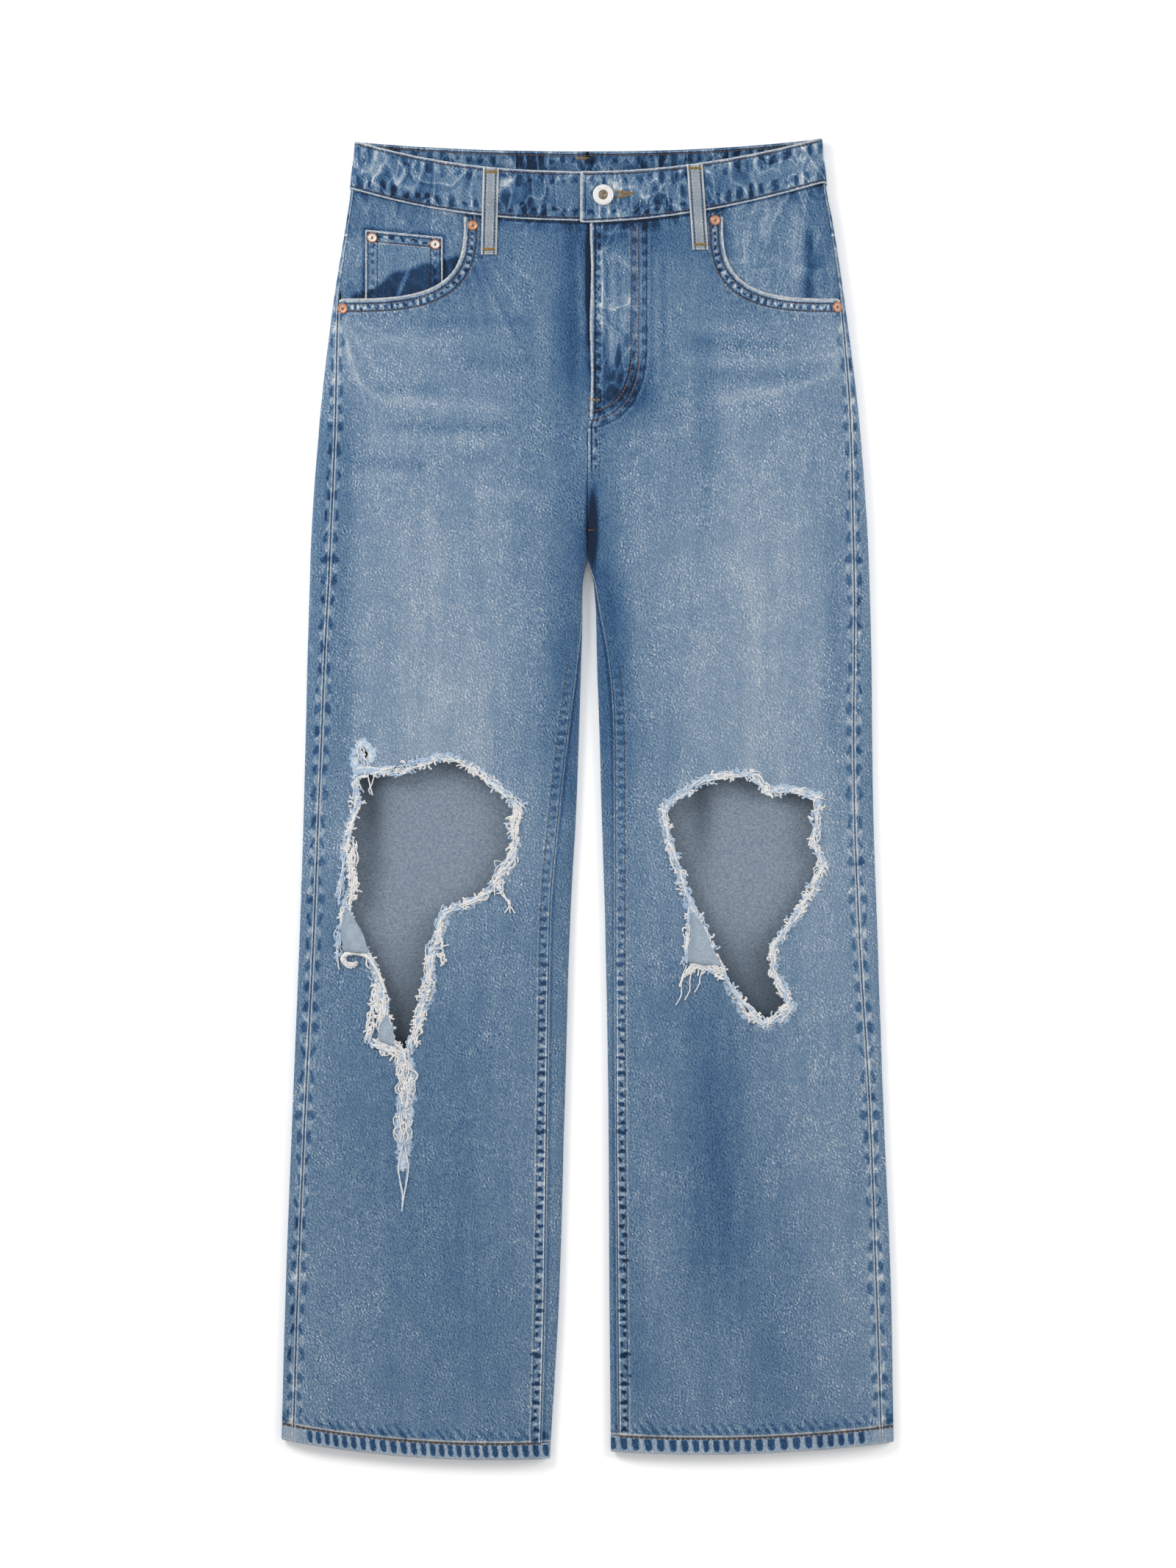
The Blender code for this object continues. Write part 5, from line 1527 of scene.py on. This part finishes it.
def bar_tack(colour, centre, across, width, height, count):
    """Close zigzag of thread: short bars beside each other along a line."""
    centre, across = np.asarray(centre, float), np.asarray(across, float)
    upright = np.array([-across[1], across[0], 0.0])
    for i in range(count):
        middle = centre + across * width * (i / (count - 1) - 0.5)
        lean = across * dice.uniform(-0.3, 0.3)
        tips = [middle + (upright * height / 2 + lean) * share for share in (-1, -0.5, 0.5, 1)]
        points = np.array(tips) + dice.normal(0, 0.05, 3)
        points[:, 2] += np.array([-0.35, 0.12, 0.12, -0.35])
        sewn[colour].append((points, [0.3, 0.42, 0.42, 0.3]))


for side in (RIGHT, LEFT):
    for inset, colour, size in ((3, "navy", 0.36), (3.7, "rust", 0.30), (9.6, "rust", 0.38),
                                (8.9, "navy", 0.30)):
        sew(colour, mouth_points(side, inset, 0.05), size)
    start = OVERLAP_END + 2.5 if side == LEFT else -OVERLAP_END + 2
    s = np.linspace(start, float(mark(side, BAND_Y, "edge")) - 2, 400)
    for colour, rise, off, size in (("rust", 1, -2.3, 0.40), ("navy", 1, -3, 0.28),
                                    ("navy", 0, 2.3, 0.42), ("rust", 0, 3, 0.30)):
        sew(colour, band_points(side, s, rise, -0.2, off), size)
    s = np.linspace(float(mark(side, BAND_Y, "bench_out")) + 3,
                    float(mark(side, BAND_Y, "end")), 300)
    sew("rust", band_points(side, s, 1.0, -BAND - 0.15, -2.8) + np.array([0.0, 0.0, 0.25]))
    hem_s = np.linspace(float(mark(side, -535, "seam")), float(mark(side, -535, "edge")), 260)
    x, z = on_cloth(side, HEM_LINE[side][0] + HEM_TURN, hem_s)
    y = hem_edge(side, x) + HEM_TURN - 0.1
    x, z = on_cloth(side, y, hem_s)
    sew("brown", np.column_stack([side * x, y + 0.35, z]), 0.34, 4.2, 3.4)
    sew("rust", np.column_stack([side * x, y - 0.45, z]), 0.36, 4.2, 3.6)
    seam_y = np.linspace(HEM_LINE[side][0] + 18, 112, 400)
    x, z = on_cloth(side, seam_y, mark(side, seam_y, "seam") + 7.9, 0.3)
    sew("brown", np.column_stack([side * x, seam_y, z]), 0.30, 3.8, 2.6)
sew("navy", straight(LEFT, (7, 470), (7.4, 322), 60, 0.02), 0.46, 4.6, 2.2)
for reach, foot in ((36, 316.5), (42, 309)):
    bend = np.linspace(0, math.pi / 2, 40)
    x = np.concatenate([np.full(60, reach), reach * np.cos(bend) ** (2 / 2.2)])
    y = np.concatenate([np.linspace(468, 362, 60),
                        362 - (362 - foot) * np.sin(bend) ** (2 / 2.2)])
    sew("copper", front_points(LEFT, x, y, 0.02), 0.36, 3, 2.4)
    sew("navy", front_points(LEFT, x - 0.7, y + 0.3, 0), 0.26, 3, 2)
for x in (3.6, 9.2):
    sew("navy", straight(LEFT, (x, 306), (x, 262), 20, 0), 0.34, 3.6)
bar_tack("ochre", front_points(LEFT, 5.5, 325.8, 0)[0], (1, 0, 0), 8, 2, 11)
bar_tack("rust", front_points(LEFT, 4.4, 219.6, 0.2)[0], (1, 0.05, 0), 7, 1.1, 7)

for x in (COIN_OUT - 1.9, COIN_OUT - 9.4, COIN_IN + 1.9, COIN_IN + 9.4):
    sew("navy", straight(RIGHT, (x, coin_mouth(x) - 1), (x, COIN_FOOT), 40, -(CLOTH + GAP)), 0.34)
for drop, colour in ((2.2, "navy"), (9, "rust")):
    start, end = ((x, coin_mouth(x) - drop) for x in (COIN_OUT - 2, COIN_IN + 2))
    sew(colour, straight(RIGHT, start, end, 40, -(CLOTH + GAP)), 0.36)
for loop in loops:
    if not loop["front"]:
        continue
    for across in (-0.31, 0.31):
        along = np.linspace(3, loop["length"] - 3, 60)
        route = np.column_stack(loop_point(loop, np.full(60, across), along, -0.55))
        sew("navy", route, 0.34, 2.7, 1.9)
    for along in (3.4, loop["length"] - 4.4):
        x, y, z = loop_point(loop, np.array([-0.5, 0.5]), np.full(2, along), 0.0)
        tip = np.array([x[1] - x[0], y[1] - y[0], 0.0]) / math.hypot(x[1] - x[0], y[1] - y[0])
        bar_tack("ochre", (np.mean(x), np.mean(y), np.mean(z)), tip, 9.5, 2.4, 14)
x, y, z = band_points(LEFT, np.array([mark(LEFT, BAND_Y, "end") - 4.0]), 1.0, -BAND - 0.1,
                      -5)[0]
bar_tack("ochre", (-x - 4, y, z), (1, 0, 0), 10, 2, 13)

# The buttonhole's thread: bars across a slit that narrows away from the button.
for i in range(26):
    share = i / 25
    middle = front_points(LEFT, BUTTON_X + 9.6 + 15 * share, BUTTON_Y + 0.2 + 1.2 * share,
                          BAND / 2 + 0.1)[0]
    reach = 3.4 * (1 - share) ** 1.3 + 0.9
    for way in (-1, 1):
        tips = [middle + np.array([0.2 * bend, way * (0.25 + reach * bend), 0.0])
                for bend in (0, 0.3, 0.7, 1)]
        points = np.array(tips)
        points[:, 2] += np.array([-0.3, 0.15, 0.15, -0.3])
        if share > 0.25 or i % 2:
            sewn["ochre"].append((points, [0.25, 0.34, 0.34, 0.2]))

THREAD = {"rust": ("#4b3831", "#7c604e"), "navy": ("#15233b", "#2d4263"),
          "copper": ("#6f4c42", "#a07c6c"), "ochre": ("#6f5a34", "#b39458"),
          "brown": ("#332f2e", "#645a52")}
for colour, (low, high) in THREAD.items():
    yarn = plain_cotton("thread_" + colour, low, high, 900, 0.75, 0.2)
    row = rolls("stitches_" + colour, sewn[colour], yarn)

# ---- Torn knees ----------------------------------------------------------------------------
# Each knee is torn through the front layer.  The blue warp has broken away along the edge, and
# the white weft yarns are left as a ragged fringe with loops, tufts and a few dangling ends.
# Skeins of yarn: side, start, end, width, number of yarns and the blue share among them.
SKEINS = (
    (RIGHT, 192, -38, 191, -84, 10, 10, 0.1), (RIGHT, 199, -46, 203, -84, 5, 8, 0.8),
    (RIGHT, 190, 20, 190, -8, 5, 7, 0.4), (RIGHT, 190, -6, 197, -42, 5, 8, 0.4),
    (RIGHT, 86, 20, 54, -6, 7, 12, 0.3), (RIGHT, 57, -4, 61, -30, 10, 13, 0.1),
    (RIGHT, 60, -25, 62, -48, 6, 7, 0.4), (RIGHT, 62, -45, 76, -72, 12, 15, 0.15),
    (RIGHT, 78, -76, 118, -93, 4, 9, 0.4),
    (RIGHT, 119, -93, 130, -140, 6, 11, 0.4), (RIGHT, 121, -110, 119, -132, 6, 5, 0.1),
    (RIGHT, 130, -126, 129, -153, 8, 11, 0.15), (RIGHT, 130, -148, 142, -188, 9, 13, 0.25),
    (RIGHT, 135, -172, 143, -204, 7, 9, 0.1), (RIGHT, 177, -131, 170, -160, 7, 10, 0.2),
    (RIGHT, 174, -150, 163, -203, 11, 18, 0.2), (RIGHT, 179, -197, 155, -208, 8, 16, 0.2),
    (RIGHT, 172, -152, 180, -196, 5, 10, 0.2), (RIGHT, 167, -162, 169, -202, 8, 14, 0.1),
    (RIGHT, 160, -200, 147, -214, 8, 12, 0.1), (RIGHT, 152, -206, 147, -238, 13, 20, 0.15),
    (RIGHT, 147, -228, 149, -252, 10, 14, 0.15), (RIGHT, 151, -248, 150, -286, 10, 13, 0.6),
    (RIGHT, 186, 42, 183, 28, 6, 9, 0.7), (RIGHT, 170, 23, 122, 34, 4, 8, 0.6),
    (LEFT, 75, 3, 103, 19, 5, 8, 0.5), (LEFT, 103, 19, 137, 21, 6, 10, 0.4),
    (LEFT, 136, 19, 147, 6, 9, 12, 0.2), (LEFT, 147, 6, 168, 8, 6, 9, 0.3),
    (LEFT, 168, 8, 189, 0, 7, 11, 0.3), (LEFT, 188, 0, 186, -36, 7, 13, 0.3),
    (LEFT, 184, -34, 193, -56, 8, 11, 0.2), (LEFT, 192, -52, 174, -90, 7, 12, 0.3),
    (LEFT, 174, -88, 151, -121, 7, 12, 0.3), (LEFT, 151, -118, 152, -145, 6, 9, 0.3),
    (LEFT, 151, -140, 167, -172, 8, 13, 0.2), (LEFT, 166, -168, 144, -184, 8, 12, 0.2),
    (LEFT, 144, -183, 118, -155, 6, 10, 0.4), (LEFT, 63, -8, 68, -40, 8, 12, 0.3),
    (LEFT, 67, -38, 80, -78, 8, 12, 0.3), (LEFT, 80, -74, 92, -99, 6, 8, 0.4),
)
fringe = {"white": [], "blue": []}
YARN = 0.38                 # radius of a loose yarn of size 1


def lay_yarn(side, x, y, kind, sizes, over):
    """One yarn over the top face."""
    points = front_points(side, x, y, over)
    fringe[kind].append((points, np.broadcast_to(sizes, len(points)).astype(float)))


def skein(side, x0, y0, x1, y1, width, count, blue):
    """Loose yarns that bow, cross and curl between two places."""
    run = np.array([x1 - x0, y1 - y0], float)
    length = math.hypot(*run)
    run = run / length
    for _ in range(int(count * (0.5 + length / 24))):
        middle, reach = dice.uniform(0, length), dice.uniform(3, 8)
        bow = np.sin(np.linspace(0, math.pi, 9))
        place = np.linspace(middle - reach, middle + reach, 9) + dice.normal(0, 1) * bow
        swing = (dice.uniform(-0.4, 0.4) + dice.normal(0, 0.25) * bow) * width
        swing = swing + dice.normal(0, 0.15, 9)
        kind = "blue" if dice.random() < blue else "white"
        lay_yarn(side, x0 + run[0] * place - run[1] * swing, y0 + run[1] * place + run[0] * swing,
                 kind, dice.uniform(1.1, 2.1) * (0.6 + 0.4 * bow),
                 0.4 + dice.uniform(0, 0.9) + 0.7 * bow)
    # Knots: where the yarns have felted into small tight curls.
    for middle in np.arange(dice.uniform(0, 4), length, 5.2):
        start = dice.uniform(-0.4, 0.4) * width
        kind = "blue" if dice.random() < blue else "white"
        for _ in range(5):
            turn = dice.uniform(0, 6.3) + dice.normal(0, 4) * np.linspace(0, 1, 7)
            reach = dice.uniform(3, 6) / 7
            x = x0 + run[0] * middle - run[1] * start + np.cumsum(np.cos(turn)) * reach
            y = y0 + run[1] * middle + run[0] * start + np.cumsum(np.sin(turn)) * reach
            lay_yarn(side, x + dice.normal(0, 0.7), y + dice.normal(0, 0.7), kind,
                     dice.uniform(1.4, 2.3), 0.5 + dice.uniform(0, 1))


for side, x0, y0, x1, y1, width, count, blue in SKEINS:
    slim = 0.65 if side == LEFT else 0.85
    skein(side, x0, y0, x1, y1, width * slim, count * slim, blue)
for side in (RIGHT, LEFT):
    for (x0, y0), (x1, y1) in zip(RIP[side], RIP[side][1:] + RIP[side][:1]):
        skein(side, x0, y0, x1, y1, 2.4, 5, 0.42)


def hanging(side, places, kind, size, over=1, shake=0.12):
    """A loose yarn laid smoothly through places on the top face."""
    share = np.linspace(0, len(places) - 1, 10 * (len(places) - 1) + 1)
    route = []
    for values in np.transpose(places):
        line = np.interp(share, range(len(values)), values)
        soft = np.convolve(np.pad(line, 4, mode="edge"), np.ones(9) / 9, mode="valid")
        soft[0], soft[-1] = line[0], line[-1]
        route.append(soft + dice.normal(0, shake, len(share)))
    lay_yarn(side, route[0], route[1], kind, size, over)


# The loose bridge at the top corner, the ends that hang there, the curl under the right flap,
# and the ends that dangle below the braid.
for shift in (-2.8, -1.7, -0.5, 0.7, 1.8):
    hanging(RIGHT, ((188, 23 + shift), (178, 25 + shift * 0.8), (164, 22 + shift * 0.5)),
            "blue" if shift < 1 else "white", 2)
hanging(RIGHT, ((179.5, 20), (178, 12), (175.5, 3)), "white", 1.5)
hanging(RIGHT, ((174.5, 18), (176, 12), (179, 8), (177.5, 4)), "white", 1.2)
for way in (-1, 1):
    for y in (-262, -272):
        hanging(RIGHT, ((151 + way * 2, y + 7), (151 + way * 8, y + 2),
                        (151 + way * 7, y - 5), (151 + way * 1.5, y - 7)), "white", 1.1)
for bend, size in ((-3, 1.6), (3, 1.9)):
    hanging(RIGHT, ((150.5 + bend * 0.3, -282), (151 + bend * 1.4, -300),
                    (150.5 + bend * 0.5, -318), (151, -328), (151.8, -337)), "blue", size,
            0.7)
    hanging(RIGHT, ((150 + bend * 0.3, -282), (150.5 + bend * 1.6, -302),
                    (150 + bend * 0.6, -316), (150.5, -327), (151, -333)), "white",
            1.2, 1.1)
for inward, size, over in ((0, 3.8, 1.4), (1.7, 3.4, 2.2), (-1.5, 2.8, 1)):
    hanging(RIGHT, ((188, -133), (191, -136.5 + inward), (197, -135.5 + inward),
                    (200.5 - inward, -130), (197, -125.5 - inward), (190, -124 - inward),
                    (183, -126 - inward), (178, -130), (173, -138),
                    (169, -147 + inward), (165, -158)), "white", size, over, 0.18)
for shift in (0, 2.2, 4.4):
    hanging(RIGHT, ((73 + shift, -66), (69, -76 - shift), (66 - shift, -84),
                    (59 + 2 * shift, -93)), "white", 1.5, 1, 0.2)
hanging(RIGHT, ((203.5, -108), (205, -124), (203, -139)), "white", 1.4)


# Flaps: tongues of the front layer folded over the edge, their pale inner face out.
FLAP_CLOTH, FLAP_ACROSS, FLAP_ALONG = 0.9, 24, 40
FLAP_COLUMNS = ("side", "tip", "near", "far", "bulge", "flat", "area")
FLAPS = (
    (RIGHT, (198, -90), (177, -129), (200, -127), 3.4, (0.026, 0.040), 0.0006),
    (RIGHT, (164, -176), (157, -204), (171, -199), 1.4, (0.016, 0.028), 0.0003),
    (LEFT, (84, -91), (110, -141), (80, -137), 3.6, (0.032, 0.048), 0.0008),
)


def flap_place(flap, column, row):
    """Placing rule of a flap: it widens from its tip and rolls under at its lower edge."""
    u, v = column / FLAP_ACROSS, 1 - row / FLAP_ALONG
    (tip_x, tip_y), (near_x, near_y), (far_x, far_y) = flap["tip"], flap["near"], flap["far"]
    x = tip_x + v ** 0.65 * ((1 - u) * near_x + u * far_x - tip_x)
    y = tip_y + v * ((1 - u) * near_y + u * far_y - tip_y)
    x = x + 0.9 * np.sin(v * 9 + u * 4) * v + 2.2 * (u - 0.2) * np.sin(math.pi * v)
    roll = ramp(v, 0.86, 1)
    y = y + 3.4 * roll * roll
    bulge = flap["bulge"] * np.sin(math.pi * np.clip(u, 0.05, 0.95)) * np.sin(2.3 * v)
    lift = 1.5 + bulge + 0.35 * np.sin(x / 1.9) * np.sin(y / 2.7) - 2.2 * roll
    x, y, z = front_points(flap["side"], x, y, 0).T
    # Painted shade on the flap: darker towards its far side and its tip.
    return x, y, z + lift, {"painted_shade": 0.35 * ramp(u, 0.5, 1) + 0.25 * ramp(v, 0.5, 0)}


flap_cotton = plain_cotton("denim_flap_weft", "#93a3b3", "#b1bdc9", 640,
                           shaded="#76889a")
for number, row in enumerate(FLAPS, start=1):
    flap = dict(zip(FLAP_COLUMNS, row))
    tongue = sheet("torn_flap_%d" % number, flap_place, flap, FLAP_ACROSS, FLAP_ALONG, FLAP_CLOTH,
                   (flap_cotton, flap_cotton, yarn_edge), flap["side"] == LEFT)
skein(RIGHT, 200, -90, 205, -128, 5, 12, 0.7)
skein(LEFT, 83, -92, 79, -136, 4, 10, 0.6)
skein(LEFT, 80, -143, 90, -135, 4, 10, 0.1)
skein(LEFT, 88, -135, 111, -145, 4, 12, 0.1)
for inward, size, over in ((0, 2.6, 1.6), (1.6, 2.2, 2), (-1.6, 2, 1.2)):
    hanging(LEFT, ((112, -141 + inward), (104, -138 + inward), (94, -133.5 + inward),
                   (85, -136.5 + inward), (78, -144), (75, -153)), "white", size, over,
            0.25)
for start, low in ((96, -150), (88, -156), (81, -160)):
    hanging(LEFT, ((start, -136), (start - 5, -146), (start - 4, low),
                   (start - 9, low - 8)), "white", 1.3, 1.2, 0.2)

white_weft = plain_cotton("bleached_weft_yarn", "#e4e2e0", "#f8f7f6", 500)
blue_warp = plain_cotton("faded_warp_yarn", "#a5bfda", "#d0ddea", 500)
fringes = [rolls("fringe_white", fringe["white"], white_weft, YARN),
           rolls("fringe_blue", fringe["blue"], blue_warp, YARN)]

# ---- Surface, light and camera -------------------------------------------------------------
# The jeans lie on a plain white table under soft even daylight, seen from straight above.
bm = bmesh.new()
bmesh.ops.create_grid(bm, x_segments=1, y_segments=1, size=4)
floor = placed("table_top", meshed(bm, "table_top"))
floor.location.z = -0.2 * MM                 # clear of the cloth that lies on it


def seen_or_lit(tree, seen, lit):
    """One level for what is seen, also in a mirror or through glass, and one for what lights."""
    paths = add(tree, "LightPath").outputs
    direct = add(tree, "Math", (paths["Is Camera Ray"], paths["Is Glossy Ray"]),
                 operation="MAXIMUM")
    either = add(tree, "Math", (direct, paths["Is Transmission Ray"]), operation="MAXIMUM")
    return add(tree, "MapRange", (either, 0, 1, lit, seen))


paper = bpy.data.materials.new("white_paper")
paper.use_nodes = True
tree = paper.node_tree
face = add(tree, "BsdfDiffuse", (seen_or_lit(tree, 1.32, 0.9),))
wire(tree, tree.nodes["Material Output"], {"Surface": face})
tree.nodes.remove(tree.nodes["Principled BSDF"])
floor.data.materials.append(paper)

world = bpy.data.worlds.new("daylight")
bpy.context.scene.world = world
world.use_nodes = True
tree = world.node_tree
wire(tree, tree.nodes["Background"], {"Strength": seen_or_lit(tree, 1, 0.50),
                                      "Color": (1, 1, 1, 1)})


def add_lamp(name, size, energy, place, target):
    """Soft square lamp that looks at a point."""
    light = bpy.data.lights.new(name, "AREA")
    light.shape = "SQUARE"
    light.size = size
    light.energy = energy
    lamp = placed(name, light)
    lamp.location = place
    aim = Vector(target) - Vector(place)
    lamp.rotation_euler = aim.to_track_quat("-Z", "Y").to_euler()


add_lamp("window", 1.2, 34, (-1.7, 1.2, 1.35), (0, 0, 0))
add_lamp("reflector", 1.2, 20, (1.9, 0.5, 1.35), (0, 0, 0))

VIEW_WIDTH, VIEW_HEIGHT = 960, 1279.8      # what the view spans at the cloth
VIEW_CENTRE = (0.3, 12.3)
VIEW_DISTANCE = 7
camera_data = bpy.data.cameras.new("camera")
camera_data.sensor_fit = "VERTICAL"
camera_data.angle = 2 * math.atan(VIEW_HEIGHT * MM / 2 / VIEW_DISTANCE)
camera_data.clip_end = 20
camera = placed("camera", camera_data)
camera.location = (VIEW_CENTRE[0] * MM, VIEW_CENTRE[1] * MM, VIEW_DISTANCE + 13 * MM)
bpy.context.scene.camera = camera
bpy.context.scene.view_settings.view_transform = "Standard"
